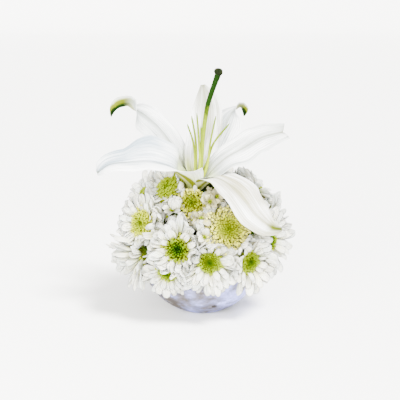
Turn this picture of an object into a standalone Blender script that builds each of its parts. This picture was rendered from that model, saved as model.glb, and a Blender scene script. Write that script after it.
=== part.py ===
"""A low white bowl of cut flowers: one open lily above a dome of white daisy mums and small white florets.

The bowl stands on the XY plane with its foot centred on the origin, +Z up and its front towards -Y.
Sizes below are in millimetres, and MM turns them into metres as each mesh is made.
"""

import math
import random

import bmesh
import bpy
import numpy as np

MM = 0.001
SEED = 11
GAP = 0.3  # between pieces that touch in the real thing

# Bowl: a round bowl cut off at its widest, with a small flat foot
BOWL_R = 61.0
FOOT_R = 24.0
BOWL_WALL = 4.0
RIM_Z = 56.0
BOWL_SIDES = 28
BOWL_CENTRE = np.array([0.0, 0.0, math.sqrt(BOWL_R**2 - FOOT_R**2)])

# Wet foam: fills the bowl and rises from it in the dome that every stem points into
FOAM_R = 41.0
HEART = np.array([0.0, 0.0, 72.0])  # centre of the dome of flowers
STEM_END = 23.5  # distance from HEART at which every stem stops, inside the foam
DOME_SIDES = 14

# Mums
STEM_R = 1.7
STEM_WALL = 1.4  # foam left between two stems at their inner ends
RIM_SLOPE = math.radians(9.5)  # steepest a stem may fall from HEART and still clear the bowl's rim
NECK_R = 2.6
CORE_R = 7.4
CORE_TOP = -2.0
CORE_LOW = -7.0
BRACT_R = 5.4  # the green cup behind a head, between its core and its stem
BRACT_LOW = -11.0
NAPE = -14.0  # where the stem leaves the head's own axis
DISC_RISE = {"ring": 3.6, "pom": 7.0}
CELL_MARGIN = 0.25
PETAL_W = 11.5
PETAL_SECTIONS = [(0.36, 0.80), (0.80, 1.0)]  # share of the length, share of the width

# Each mum: head centre (x, y, z), the way it faces, disc radius, petal reach, room and kind of disc
MUMS = [
    ((-22.5, -70, 78.6), (-0.22, -0.96, 0.10), 11.5, 37, 19, "ring"),
    ((6.9, -72, 66.2), (0.05, -0.99, 0.05), 10.5, 36, 18, "ring"),
    ((44.2, -58, 63.0), (0.57, -0.81, -0.08), 10.5, 36, 18, "ring"),
    ((22.8, -60, 94.0), (0.25, -0.88, 0.40), 13.0, 23, 19, "pom"),
    ((-9.1, -46, 114.9), (-0.10, -0.80, 0.59), 10.5, 17, 13, "pom"),
    ((-31.9, -26, 127.2), (-0.40, -0.67, 0.63), 11.0, 31, 17, "ring"),
    ((-56.2, -42, 96.6), (-0.64, -0.73, 0.24), 12.0, 34, 19, "ring"),
    ((-55.1, -8, 117.2), (-0.78, -0.22, 0.58), 9.0, 34, 19, "ring"),
    ((-60.0, -38, 63.0), (-0.86, -0.25, -0.44), 9.0, 35, 16, "ring"),
    ((62.3, -38, 78.8), (0.80, -0.59, 0.10), 10.0, 35, 18, "ring"),
    ((70.1, -2, 92.4), (0.97, -0.05, 0.25), 9.0, 34, 18, "ring"),
    ((54.4, 8, 119.0), (0.70, 0.00, 0.71), 9.0, 34, 19, "ring"),
    ((-32.5, -66.5, 55.5), (-0.40, -0.80, -0.42), 9.0, 31, 12, "ring"),
]
# Rings of mums round the back: elevation above HEART, distance from it, and each head's bearing
BACK_RINGS = [(-1, 73, (24, 57, 90, 123, 156, 188)), (35, 71, (50, 95, 142)), (66, 58, (62,))]
BACK_MUM = (9.0, 34, 19, "ring")
FRONT_PETALS = 12  # petals in each of a front mum's two rows
BACK_PETALS = 9

# Sprays of small white florets in the gaps: centre and room
SPRAYS = [
    ((-27.0, -46, 109.0), 11),
    ((-42.0, -56, 87.0), 11),
    ((-1.0, -57, 104.0), 9),
    ((12.0, -48, 121.0), 11),
    ((2.0, -66, 89.0), 12),
    ((48.0, -52, 91.0), 10),
    ((19.0, 63, 96.0), 10),
    ((-33.0, 57, 96.0), 10),
]
FLORET_R = 10.0
SPRAY_STEM_R = 1.2
# Outline of one petal of a floret: degrees from its middle, share of the radius
WIDE_OUTLINE = [(-36, 0.35), (-18, 1.0), (18, 1.0)]
NARROW_OUTLINE = [(-36, 0.45), (0, 1.0)]
FLORET_THICK = 1.3

# Lily: trumpet axis from the base of the flower to its throat
LILY_BASE = np.array([-11.0, -17.0, 119.5])
LILY_THROAT = np.array([-1.0, -24.0, 145.0])
CUP_R = 6.8
CUP_H = 7.0
CUP_SIDES = 12
CLAW_R = 5.9
TEPAL_THICK = 1.1
TEPAL_STATIONS = 9
# Each tepal: midrib points; the way its upper face looks and its width along its length (0 base, 1 tip);
# the fold along its midrib in degrees; and the stretch over which its rolled claw opens
TEPALS = {
    "front": dict(
        midrib=[(-3, -29, 129), (5, -37, 137), (13, -45, 141), (23, -54, 138), (33, -62, 131), (41, -68, 122),
                (48, -72, 113), (57, -73, 105), (66, -71, 99), (74, -68, 97)],
        faces=[(0.3, (0.1, -0.3, 0.95)), (0.5, (0.45, -0.6, 0.66)), (0.8, (0.4, -0.75, 0.5)),
               (1, (0.2, -0.8, 0.5))],
        widths=[(0, 8), (0.1, 14), (0.2, 24), (0.3, 34), (0.45, 43), (0.6, 46), (0.75, 40), (0.88, 24),
                (1, 5)],
        fold=12, opens=(0.14, 0.36)),
    "left": dict(
        midrib=[(-16, -27, 132), (-23, -34, 142), (-32, -39, 150), (-50, -43, 155), (-70, -45, 155),
                (-87, -44, 153), (-99, -42, 145)],
        faces=[(0.3, (0.2, -0.5, 0.85)), (0.5, (0, -0.62, 0.79)), (1, (0, -0.62, 0.79))],
        widths=[(0, 8), (0.1, 18), (0.2, 34), (0.3, 42), (0.45, 46), (0.6, 47), (0.75, 44), (0.9, 28),
                (1, 8)],
        fold=35, opens=(0.2, 0.42)),
    "back_left": dict(
        midrib=[(-13, -11, 135), (-19, -5, 148), (-30, 3, 165), (-44, 9, 182), (-58, 12, 194), (-70, 12, 203),
                (-81, 9, 208), (-88, 5, 204), (-90, 2, 195)],
        faces=[(0.3, (0.3, -0.8, 0.4)), (0.6, (0.25, -0.85, 0.45)), (0.8, (0.1, -0.6, 0.8)),
               (1, (-0.7, -0.5, 0.5))],
        widths=[(0, 8), (0.1, 14), (0.2, 24), (0.35, 32), (0.5, 34), (0.62, 31), (0.72, 25), (0.8, 13),
                (0.88, 9), (0.95, 8), (1, 4)],
        fold=14, opens=(0.14, 0.38)),
    "back": dict(
        midrib=[(-6, -12, 135), (-2, -4, 154), (1, 4, 172), (3, 9, 190), (3, 13, 206), (1, 15, 224)],
        faces=[(0.3, (0.1, -0.98, 0.15)), (1, (0.1, -0.98, 0.15))],
        widths=[(0, 8), (0.1, 14), (0.22, 26), (0.4, 34), (0.6, 36), (0.8, 29), (0.92, 15), (1, 6)],
        fold=12, opens=(0.14, 0.38)),
    "back_right": dict(
        midrib=[(-1, -12, 135), (8, -2, 153), (17, 8, 172), (25, 16, 189), (33, 21, 200), (41, 23, 206),
                (46, 21, 202), (42, 19, 193)],
        faces=[(0.3, (-0.3, -0.9, 0.2)), (0.7, (-0.2, -0.9, 0.35)), (1, (0.6, -0.5, 0.5))],
        widths=[(0, 8), (0.1, 14), (0.22, 26), (0.4, 33), (0.6, 32), (0.72, 26), (0.82, 17), (0.9, 9),
                (1, 4)],
        fold=12, opens=(0.14, 0.38)),
    "right": dict(
        midrib=[(1, -20, 131), (10, -22, 144), (23, -22, 156), (40, -19, 164), (56, -15, 172), (69, -12, 177),
                (81, -11, 181)],
        faces=[(0.3, (-0.35, -0.58, 0.74)), (1, (-0.25, -0.6, 0.76))],
        widths=[(0, 8), (0.1, 14), (0.22, 28), (0.4, 38), (0.6, 43), (0.75, 42), (0.88, 34), (0.96, 22),
                (1, 10)],
        fold=22, opens=(0.14, 0.36)),
}
# Six filaments that grow from one ring, and the pistil that stands among them
STAMEN_RING = (2.9, 3.9)  # inner and outer radius
FILAMENT_R = 0.8
FILAMENTS = [
    [(-7, -24, 143), (-8, -29, 170), (-14, -34, 191)],
    [(-6.5, -19.5, 146), (-6, -23, 172), (-10, -28, 198)],
    [(-2.5, -29, 148), (-3, -34, 174), (-5, -40, 202)],
    [(-2.5, -16.5, 148), (-1, -13, 168), (-1, -10, 186)],
    [(4.5, -25, 148), (8, -27, 173), (13, -30, 198)],
    [(3.5, -20, 148), (11, -24, 171), (26, -30, 191)],
]
PISTIL = [(-1.2, -23.2, 145), (0.8, -26.5, 177), (4.4, -29.5, 204), (8.4, -32, 219), (16.3, -36, 242)]
# (share of its length, radius): ovary, style and the knob of the stigma
PISTIL_RADII = [(0.0, 2.2), (0.12, 2.3), (0.2, 1.7), (0.35, 1.8), (0.55, 2.0), (0.75, 2.2), (0.92, 2.4),
                (0.945, 3.6), (0.97, 4.2), (0.99, 3.6), (1.0, 1.8)]
LILY_STEM_R = 3.2


def unit(v):
    v = np.asarray(v, float)
    return v / np.linalg.norm(v)


def frame_about(axis, up=(0.0, 0.0, 1.0)):
    """Two unit vectors across axis: the first level, the second the way up leans."""
    axis = unit(axis)
    side = np.cross(up, axis)
    if np.linalg.norm(side) < 1e-3:
        side = np.array([1.0, 0.0, 0.0])
    side = unit(side)
    return side, np.cross(axis, side)


def smooth_path(points, count):
    """Count points evenly spaced along a smooth curve through the given ones."""
    points = [np.asarray(p, float) for p in points]
    ends = [2 * points[0] - points[1], *points, 2 * points[-1] - points[-2]]
    fine = []
    for a, b, c, d in zip(ends, ends[1:], ends[2:], ends[3:]):
        for t in np.linspace(0, 1, 12, endpoint=False):
            fine.append(0.5 * (2 * b + (c - a) * t + (2 * a - 5 * b + 4 * c - d) * t**2
                               + (3 * b - a - 3 * c + d) * t**3))
    fine = np.array([*fine, points[-1]])
    length = np.concatenate([[0], np.cumsum(np.linalg.norm(np.diff(fine, axis=0), axis=1))])
    at = np.linspace(0, length[-1], count)
    return np.array([np.interp(at, length, fine[:, k]) for k in range(3)]).T


def profile_at(table, t):
    """The value at t of a table of (t, value) rows."""
    return float(np.interp(t, [row[0] for row in table], [row[1] for row in table]))


def make_material(name, rgb, roughness):
    material = bpy.data.materials.new(name)
    material.use_nodes = True
    shader = material.node_tree.nodes["Principled BSDF"]
    shader.inputs["Base Color"].default_value = (*rgb, 1.0)
    shader.inputs["Roughness"].default_value = roughness
    shader.inputs["Metallic"].default_value = 0.0
    material.diffuse_color = (*rgb, 1.0)
    return material


def make_object(name, points, faces, material):
    """A closed mesh object from points in millimetres."""
    mesh = bpy.data.meshes.new(name)
    mesh.from_pydata([tuple(np.asarray(p, float) * MM) for p in points], [], faces)
    shell = bmesh.new()
    shell.from_mesh(mesh)
    bmesh.ops.recalc_face_normals(shell, faces=shell.faces)
    if shell.calc_volume(signed=True) < 0:
        bmesh.ops.reverse_faces(shell, faces=shell.faces)
    bmesh.ops.triangulate(shell, faces=[f for f in shell.faces if len(f.verts) > 3])
    shell.to_mesh(mesh)
    shell.free()
    mesh.shade_smooth()
    mesh.set_sharp_from_angle(angle=math.radians(40))
    obj = bpy.data.objects.new(name, mesh)
    bpy.context.scene.collection.objects.link(obj)
    mesh.materials.append(material)
    return obj


def combine(target, others, operation):
    """Joins or cuts others with target by one Boolean, applies it and removes them."""
    helpers = bpy.data.collections.new("helpers")
    bpy.context.scene.collection.children.link(helpers)
    for other in others:
        bpy.context.scene.collection.objects.unlink(other)
        helpers.objects.link(other)
        other.hide_render = True
        other.display_type = "WIRE"
    boolean = target.modifiers.new("combine", "BOOLEAN")
    boolean.operation = operation
    boolean.operand_type = "COLLECTION"
    boolean.collection = helpers
    boolean.solver = "EXACT"
    graph = bpy.context.evaluated_depsgraph_get()
    mesh = bpy.data.meshes.new_from_object(target.evaluated_get(graph))
    target.modifiers.clear()
    target.data = mesh
    for other in others:
        bpy.data.objects.remove(other)
    bpy.data.collections.remove(helpers)
    return target


def stitch(faces, low, high):
    """Triangles between two closed rings of indices that may differ in count, both turning the same way."""
    i, j = 0, 0
    m, n = len(low), len(high)
    while i < m or j < n:
        if j >= n or (i < m and (i + 1) / m <= (j + 1) / n):
            faces.append((low[i % m], low[(i + 1) % m], high[j % n]))
            i += 1
        else:
            faces.append((low[i % m], high[(j + 1) % n], high[j % n]))
            j += 1


def lofted(rings, start_point=None, end_point=None):
    """Points and faces of a closed skin over rings of points that all turn the same way."""
    points, faces, indices = [], [], []
    for ring in rings:
        indices.append(list(range(len(points), len(points) + len(ring))))
        points.extend(ring)
    for low, high in zip(indices, indices[1:]):
        stitch(faces, low, high)
    for ring, tip in ((indices[0], start_point), (indices[-1], end_point)):
        if tip is None:
            faces.append(tuple(ring))
            continue
        points.append(tip)
        for a, b in zip(ring, ring[1:] + ring[:1]):
            faces.append((a, b, len(points) - 1))
    return points, faces


def circle(centre, side, up, radius, sides, turn=0.0):
    angles = [2 * math.pi * (k + turn) / sides for k in range(sides)]
    return [centre + radius * (math.cos(a) * side + math.sin(a) * up) for a in angles]


def tube(path, radii, sides):
    """Rings along a path, carried along it without twisting."""
    rings = []
    tangents = np.gradient(path, axis=0)
    side, _ = frame_about(tangents[0], (0.1, 0.3, 1.0))
    for point, tangent, radius in zip(path, tangents, radii):
        tangent = unit(tangent)
        side = unit(side - tangent * (side @ tangent))
        rings.append(circle(point, side, np.cross(tangent, side), radius, sides))
    return rings


def turned(profile, sides):
    """Points and faces of a profile of (radius, z) turned about Z and closed at both ends on the axis."""
    level, depth = np.array([1.0, 0, 0]), np.array([0, 1.0, 0])
    rings = [circle(np.array([0, 0, z]), level, depth, r, n) for (r, z), n in zip(profile, sides)]
    return lofted(rings, np.array([0, 0, profile[0][1]]), np.array([0, 0, profile[-1][1]]))


def sphere_profile(radius, centre_z, low_z, high_z, steps):
    """(radius, z) points on a sphere from one height to another."""
    low = math.asin((low_z - centre_z) / radius)
    high = math.asin((high_z - centre_z) / radius)
    return [(radius * math.cos(a), centre_z + radius * math.sin(a)) for a in np.linspace(low, high, steps)]


def inside_profile():
    """(radius, z) up the bowl's inner face, from its floor to the rounding of its rim."""
    return sphere_profile(BOWL_R - BOWL_WALL, BOWL_CENTRE[2], BOWL_WALL, RIM_Z - BOWL_WALL / 2, 5)


def make_bowl(material):
    centre = BOWL_CENTRE[2]
    lip = BOWL_WALL / 2
    outside = sphere_profile(BOWL_R, centre, 0.0, RIM_Z - lip, 8)
    edge = [(BOWL_R - lip + lip * math.cos(a), RIM_Z - lip + lip * math.sin(a))
            for a in np.radians([35, 90, 145])]
    profile = [*outside, *edge, *inside_profile()[::-1]]
    make_object("pot", *turned(profile, [BOWL_SIDES] * len(profile)), material)


def make_foam(material, stems):
    """Foam with a plain hole for every stem, given as (direction from HEART, stem radius)."""
    inner_r, centre = BOWL_R - BOWL_WALL, BOWL_CENTRE[2]
    shrink = (inner_r - GAP - 0.1) / inner_r
    low = [(r * shrink, centre + (z - centre) * shrink) for r, z in inside_profile()]
    ledge_z = low[-1][1]
    dome = sphere_profile(FOAM_R, HEART[2], ledge_z, HEART[2] + FOAM_R * 0.995, 6)
    sides = [BOWL_SIDES] * len(low) + [DOME_SIDES] * len(dome)
    foam = make_object("foam", *turned(low + dome, sides), material)
    cutters = []
    for direction, radius in stems:
        direction = unit(direction)
        side, up = frame_about(direction)
        ends = [HEART + direction * d for d in (STEM_END - 0.6, FOAM_R + 12)]
        hole = (radius + GAP) / math.cos(math.pi / 5)
        rings = [circle(p, side, up, hole, 5) for p in ends]
        cutters.append(make_object("hole", *lofted(rings), material))
    return combine(foam, cutters, "DIFFERENCE")


def direction_at(table, t):
    """The direction at t of a table of (t, (x, y, z)) rows."""
    return unit([np.interp(t, [row[0] for row in table], [row[1][k] for row in table]) for k in range(3)])


def tepal_sections(tepal, stations, across_steps):
    """Rows of points across a tepal's upper face and its under face. The claw is rolled round the trumpet."""
    axis = unit(LILY_THROAT - LILY_BASE)
    first = np.asarray(tepal["midrib"][0], float)
    out = unit((first - LILY_BASE) - axis * ((first - LILY_BASE) @ axis))
    start = [LILY_BASE - 5 * axis + CLAW_R * out, LILY_BASE + axis + (CLAW_R + 0.4) * out]
    path = smooth_path([*start, *tepal["midrib"]], stations)
    tangents = np.gradient(path, axis=0)
    rows = []
    for k, (point, tangent) in enumerate(zip(path, tangents)):
        t = k / (stations - 1)
        tangent = unit(tangent)
        shut, full = tepal["opens"]
        blend = min(max((t - shut) / (full - shut), 0.0), 1.0)
        look = -out * (1 - blend) + direction_at(tepal["faces"], t) * blend
        normal = unit(look - tangent * (look @ tangent))
        across = np.cross(tangent, normal)
        step = 0.5 * profile_at(tepal["widths"], t) / across_steps
        from_axis = (point - LILY_BASE) - axis * ((point - LILY_BASE) @ axis)
        roll = (1 - blend) * step / max(np.linalg.norm(from_axis), 4.5)
        fold = math.radians(tepal["fold"]) * (0.3 + 0.7 * blend)
        sides = []
        for way in (-1.0, 1.0):
            spot, leaning = point, []
            for n in range(across_steps):
                slope = fold + roll * (n + 0.5) - 0.35 * blend * ((n + 0.5) / across_steps) ** 2
                spot = spot + step * (across * way * math.cos(slope) + normal * math.sin(slope))
                lean = normal * math.cos(slope) - across * way * math.sin(slope)
                leaning.append((spot, spot - lean * TEPAL_THICK))
            sides.append(leaning)
        whole = sides[0][::-1] + [(point, point - normal * TEPAL_THICK)] + sides[1]
        rows.append(([pair[0] for pair in whole], [pair[1] for pair in whole]))
    return rows


def blade_mesh(rows):
    """A closed thin blade over the rows, split into triangles alike on both faces."""
    across = len(rows[0][0])
    points = [p for upper, under in rows for p in (*upper, *under)]
    faces = []
    for k in range(len(rows) - 1):
        here, there = 2 * across * k, 2 * across * (k + 1)
        for j in range(across - 1):
            a, b, c, d = here + j, here + j + 1, there + j + 1, there + j
            faces += [(a, b, c), (a, c, d)]
            e, f, g, h = (index + across for index in (a, b, c, d))
            faces += [(e, g, f), (e, h, g)]
        for j in (0, across - 1):
            a, d = here + j, there + j
            faces += [(a, d, a + across), (d, d + across, a + across)]
    for k in (0, len(rows) - 1):
        start = 2 * across * k
        for j in range(across - 1):
            a, b = start + j, start + j + 1
            faces += [(a, b, b + across), (a, b + across, a + across)]
    return points, faces


def lily_knee():
    """Where the lily's stem turns from the flower's own line to the line of its hole in the foam."""
    return LILY_BASE - unit(LILY_THROAT - LILY_BASE) * (CUP_H + GAP + 2.6)


def make_lily(petal, green, pale):
    """The lily's four pieces. Returns them with the convex blocks that mark the space they fill."""
    axis = unit(LILY_THROAT - LILY_BASE)
    side, up = frame_about(axis)
    blades, blocks = [], []
    for name, tepal in TEPALS.items():
        rows = tepal_sections(tepal, TEPAL_STATIONS, 2)
        blades.append(make_object(name, *blade_mesh(rows), petal))
        blocks += [np.array([*a[0], *a[1], *b[0], *b[1]]) for a, b in zip(rows, rows[1:])]
    cup_rings = [circle(LILY_BASE - axis * h, side, up, r, CUP_SIDES)
                 for h, r in ((CUP_H, CUP_R - 1.6), (CUP_H * 0.6, CUP_R), (0, CUP_R + 0.2))]
    blocks.append(np.array(cup_rings[0] + cup_rings[-1]))
    cup = make_object("lily_tepals", *lofted(cup_rings), petal)
    combine(cup, blades, "UNION")

    inner, outer = STAMEN_RING
    ring_low, ring_high = LILY_BASE + axis * GAP, LILY_BASE + axis * (GAP + 2.4)
    rings = [circle(ring_low, side, up, r, 8) for r in (inner, outer)]
    rings += [circle(ring_high, side, up, r, 8) for r in (outer, inner)]
    points, faces = [p for ring in rings for p in ring], []
    for k in range(4):
        stitch(faces, list(range(8 * k, 8 * k + 8)), [(8 * (k + 1) + j) % 32 for j in range(8)])
    stamens = make_object("lily_stamens", points, faces, pale)
    threads = []
    for stops in FILAMENTS:
        first = np.asarray(stops[0], float)
        out = unit((first - LILY_BASE) - axis * ((first - LILY_BASE) @ axis))
        start = LILY_BASE + axis * 1.4 + out * 0.5 * (inner + outer)
        path = smooth_path([start, LILY_BASE + axis * 5 + out * outer, *stops], 6)
        radii = np.linspace(FILAMENT_R, 0.6 * FILAMENT_R, 6)
        threads.append(make_object("filament", *lofted(tube(path, radii, 4)), pale))
    combine(stamens, threads, "UNION")

    path = smooth_path([LILY_BASE + axis * GAP, LILY_BASE + axis * 12, *PISTIL], 201)
    path = np.array([path[round(200 * t)] for t, _ in PISTIL_RADII])
    make_object("lily_pistil", *lofted(tube(path, [r for _, r in PISTIL_RADII], 7)), green)

    seat, knee = LILY_BASE - axis * (CUP_H + GAP), lily_knee()
    way = unit(HEART - knee)
    across = side
    rings = []
    for point, tangent in ((seat, -axis), (knee, unit(way - axis)), (HEART - way * STEM_END, way)):
        across = unit(across - tangent * (across @ tangent))
        rings.append(circle(point, across, np.cross(across, tangent), LILY_STEM_R, 7))
    blocks += [np.array(a + b) for a, b in zip(rings, rings[1:])]
    make_object("lily_stem", *lofted(rings), green)
    return blocks


def mum_list():
    """Every mum as a dictionary, the back ones worked out from their rings."""
    mums = []
    for place, face, disc, reach, room, kind in MUMS:
        mums.append(dict(place=np.array(place, float), face=unit(face), disc=disc, reach=reach,
                         room=room, kind=kind, petals=FRONT_PETALS))
    disc, reach, room, kind = BACK_MUM
    for elevation, distance, bearings in BACK_RINGS:
        for bearing in bearings:
            el, az = math.radians(elevation), math.radians(bearing)
            out = np.array([math.cos(el) * math.cos(az), math.cos(el) * math.sin(az), math.sin(el)])
            mums.append(dict(place=HEART + distance * out, face=out, disc=disc, reach=reach,
                             room=room, kind=kind, petals=BACK_PETALS))
    return mums


def cell_planes(own, sites):
    """Planes through HEART that keep one flower clear of its neighbours, as rows (normal, offset)."""
    planes = []
    here = unit(own["place"] - HEART)
    for other in sites:
        if other is own:
            continue
        there = unit(other["place"] - HEART)
        angle = math.acos(max(-1.0, min(1.0, here @ there)))
        if angle > math.radians(100):
            continue
        share = angle * own["room"] / (own["room"] + other["room"])
        sideways = unit(there - here * (here @ there))
        normal = sideways * math.cos(share) - here * math.sin(share)
        planes.append((normal, normal @ HEART - CELL_MARGIN))
    return planes


def block_planes(place, blocks, reach, margin=0.5):
    """Planes that keep a flower at place clear of convex blocks of other pieces."""
    planes = []
    for block in blocks:
        normal, offset = separating_plane(place, block)
        if offset - normal @ place < reach:
            planes.append((normal, offset - margin))
    return planes


def separating_plane(place, block):
    """The plane that has all of block beyond it and lies farthest from place, found by a few refinements."""
    nearest = block[np.argmin(np.linalg.norm(block - place, axis=1))]
    normal = unit(nearest - place)
    best = (normal, float((block @ normal).min()))
    for _ in range(12):
        lowest = block[np.argmin(block @ normal)]
        normal = unit(0.7 * normal + 0.3 * unit(lowest - place))
        offset = float((block @ normal).min())
        if offset - normal @ place > best[1] - best[0] @ place:
            best = (normal, offset)
    return best


def bowl_planes(place):
    """Planes that keep petals outside the bowl and off the foam."""
    out = unit(place - BOWL_CENTRE)
    dome = unit(place - HEART)
    return [
        (-out, -(out @ BOWL_CENTRE) - BOWL_R - 0.6),
        (-dome, -(dome @ HEART) - FOAM_R - 1.0),
    ]


def worst(planes, point, pad=0.0):
    """How far a point, with room around it, lies past the plane that it breaks most."""
    return max((normal @ point + pad - offset for normal, offset in planes), default=-1e9)


def pushed_in(planes, point):
    """The point moved just inside every plane."""
    point = np.array(point, float)
    for _ in range(40):
        over = [(normal @ point - offset, normal) for normal, offset in planes]
        depth, normal = max(over, key=lambda row: row[0])
        if depth <= 0:
            break
        point -= normal * (depth + 0.01)
    return point


def petal_path(centre, out, face, start, angle, curl, length, planes, pad, turns_past):
    """Marches a petal's midline outward in its own half plane, turning it up where it meets a plane.

    It turns only where it is farther out than turns_past, and stops at a plane before that.
    """
    rho, height = start
    points = [centre + out * rho + face * height]
    directions = [out * math.sin(angle) + face * math.cos(angle)]
    gone = 0.0
    while gone < length:
        step = out * math.sin(angle) + face * math.cos(angle)
        ahead = points[-1] + step * 5.0
        if worst(planes, ahead, pad) > 0:
            if (points[-1] - centre) @ out < turns_past:
                if worst(planes, points[-1] + step, pad) > 0:
                    break
            elif angle > math.radians(-5):
                angle -= 0.16
                step = out * math.sin(angle) + face * math.cos(angle)
        else:
            angle += curl
        if worst(planes, points[-1] + step, 0.4) > 0:
            break
        points.append(points[-1] + step)
        directions.append(step)
        gone += 1.0
    return points, directions


def mum_petals(mum, planes, draw):
    """Points and faces of a mum's white rays: a ring with a petal growing from every triangle of its side."""
    face, centre, count = mum["face"], mum["place"], mum["petals"]
    side, up = frame_about(face)
    points, faces = [], []

    def ring(radius, height, sides, turn):
        points.extend(circle(centre + face * height, side, up, radius, sides, turn))
        return list(range(len(points) - sides, len(points)))

    phase = draw.random()
    top = ring(CORE_R, CORE_TOP, count, phase)
    low = ring(CORE_R, CORE_LOW, count, phase + 0.5)
    hole_r = NECK_R + GAP / math.cos(math.pi / 5) + 0.1
    hole_top = ring(hole_r, CORE_TOP, 5, 0.0)
    hole_low = ring(hole_r, CORE_LOW, 5, 0.0)
    stitch(faces, hole_top, top)
    stitch(faces, low, hole_low)
    stitch(faces, hole_low, hole_top)
    roots = []
    for k in range(count):
        after = (k + 1) % count
        roots.append((top[after], top[k], low[k], (k + phase + 0.5) / count, True))
        roots.append((low[k], low[after], top[after], (k + phase + 1.0) / count, False))

    for left, right, keel, turn, is_upper in roots:
        angle = 2 * math.pi * turn + math.radians(draw.uniform(-2, 2))
        out = math.cos(angle) * side + math.sin(angle) * up
        along = -math.sin(angle) * side + math.cos(angle) * up
        length = mum["reach"] - CORE_R - draw.uniform(0, 4)
        if is_upper:
            start = (CORE_R, CORE_TOP - (CORE_TOP - CORE_LOW) / 3)
            tilt, curl = math.radians(74 + draw.uniform(-4, 4)), -0.004
        else:
            start = (CORE_R, CORE_LOW + (CORE_TOP - CORE_LOW) / 3)
            tilt, curl = math.radians(93 + draw.uniform(-4, 3)), 0.002
            length -= 1.5
        rim = mum["disc"] + 1.0
        turns_past = rim if is_upper else math.inf
        path, directions = petal_path(centre, out, face, start, tilt, curl, length, planes, 0.8, turns_past)
        if is_upper and (path[-1] - centre) @ out < rim:
            path, directions = petal_path(centre, out, face, start, math.radians(88), 0.0, length,
                                          planes, 0.3, math.inf)
        if len(path) < 4:
            step = directions[0] * 1.2
            path = [path[0] + step * n for n in range(4)]
            directions = [directions[0]] * 4
        last = len(path) - 1
        rows = [(left, right, keel)]
        for share, fullness in PETAL_SECTIONS if last > 7 else PETAL_SECTIONS[1:]:
            at = max(1, round(last * share))
            if share > 0.5:
                at = min(max(at, 2), last - 1)
            spot, way = path[at], directions[at]
            lie = unit(np.cross(way, along))
            rho = (spot - centre) @ out
            half = min(0.5 * PETAL_W * fullness, rho * 2.7 / count, 1.2 + 0.6 * last)
            cup, ridge = (0.5, -0.8) if is_upper else (-0.6, 0.7)
            trio = []
            for offset, lift in ((half, cup), (-half, cup), (0.0, ridge)):
                # The upper row's first point lies ahead of the second round the ring
                sign = 1.0 if is_upper else -1.0
                for share_left in (1.0, 0.75, 0.5, 0.3):
                    spread = spot + (along * offset * sign + lie * lift) * share_left
                    if worst(planes, spread) <= 0:
                        break
                if offset == 0.0 and worst(planes, spread) > 0:
                    spread = 0.5 * (points[-1] + points[-2]) + lie * 0.6 * (ridge - cup)
                    points.append(spread)
                else:
                    points.append(pushed_in(planes, spread))
                trio.append(len(points) - 1)
            rows.append(tuple(trio))
        points.append(pushed_in(planes, path[-1]))
        tip = len(points) - 1
        for (a, b, c), (d, e, f) in zip(rows, rows[1:]):
            faces += [(a, b, e), (a, e, d), (b, c, f), (b, f, e), (c, a, f), (a, d, f)]
        a, b, c = rows[-1]
        faces += [(a, b, tip), (b, c, tip), (c, a, tip)]
    return points, faces


def mum_heart(mum, planes, draw):
    """Points and faces of a mum's green disc, neck, cup of bracts and stem."""
    face, centre, disc = mum["face"], mum["place"], mum["disc"]
    side, up = frame_about(face)
    is_front = mum["petals"] == FRONT_PETALS
    sides = 12 if is_front else 8
    rise = DISC_RISE[mum["kind"]]
    shares = ((0.30, 0.80), (0.72, 0.95), (1.0, 0.0)) if is_front else ((0.5, 0.9), (1.0, 0.0))
    rings = []
    for share, height in shares:
        row = []
        for k in range(sides):
            a = 2 * math.pi * (k + 0.5 * len(rings)) / sides
            bump = 0.9 if k % 2 else -0.5
            r = disc * share * (1.0 - (0.05 if k % 2 else 0.0))
            row.append(centre + r * (math.cos(a) * side + math.sin(a) * up)
                       + face * (rise * height + (bump if height else 0.0)))
        rings.append(row)
    rings.append(circle(centre + face * (CORE_TOP + GAP + 0.1), side, up, NECK_R, 5))
    rings.append(circle(centre + face * (CORE_LOW - GAP - 0.1), side, up, NECK_R, 5))
    rings.append(circle(centre + face * (CORE_LOW - GAP - 0.5), side, up, BRACT_R, 5))
    rings.append(circle(centre + face * BRACT_LOW, side, up, BRACT_R - 2.4, 5))
    back = centre + face * NAPE
    direction = mum["stem_way"]
    bend = min(FOAM_R + 4, np.linalg.norm(back - HEART) - 3)
    path = [back, HEART + direction * bend, HEART + direction * STEM_END]
    across = side
    for n, point in enumerate(path):
        tangent = unit(path[min(n + 1, 2)] - path[max(n - 1, 0)])
        across = unit(across - tangent * (across @ tangent))
        rings.append(circle(point, across, np.cross(across, tangent), STEM_R, 5))
    tip = centre + face * (rise * (0.55 if mum["kind"] != "pom" else 1.05))
    return lofted(rings, tip, None)


def stem_way(mum):
    """The way a mum's stem leaves HEART: straight to the head, raised where the rim is in the way."""
    out = unit(mum["place"] - HEART)
    level = math.hypot(out[0], out[1])
    lowest = -math.tan(RIM_SLOPE) * level
    return unit((out[0], out[1], max(out[2], lowest)))


def spread_ways(mums, fixed):
    """Turns the mums' stems away from each other and from the fixed (way, radius) ones, inside the foam."""
    for _ in range(20):
        for mum in mums:
            others = [(m["stem_way"], STEM_R) for m in mums if m is not mum] + fixed
            for way, radius in others:
                apart = mum["stem_way"] - way
                short = (STEM_R + radius + STEM_WALL) / STEM_END - np.linalg.norm(apart)
                if short > 0:
                    mum["stem_way"] = unit(mum["stem_way"] + unit(apart) * short * 0.5)


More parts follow.
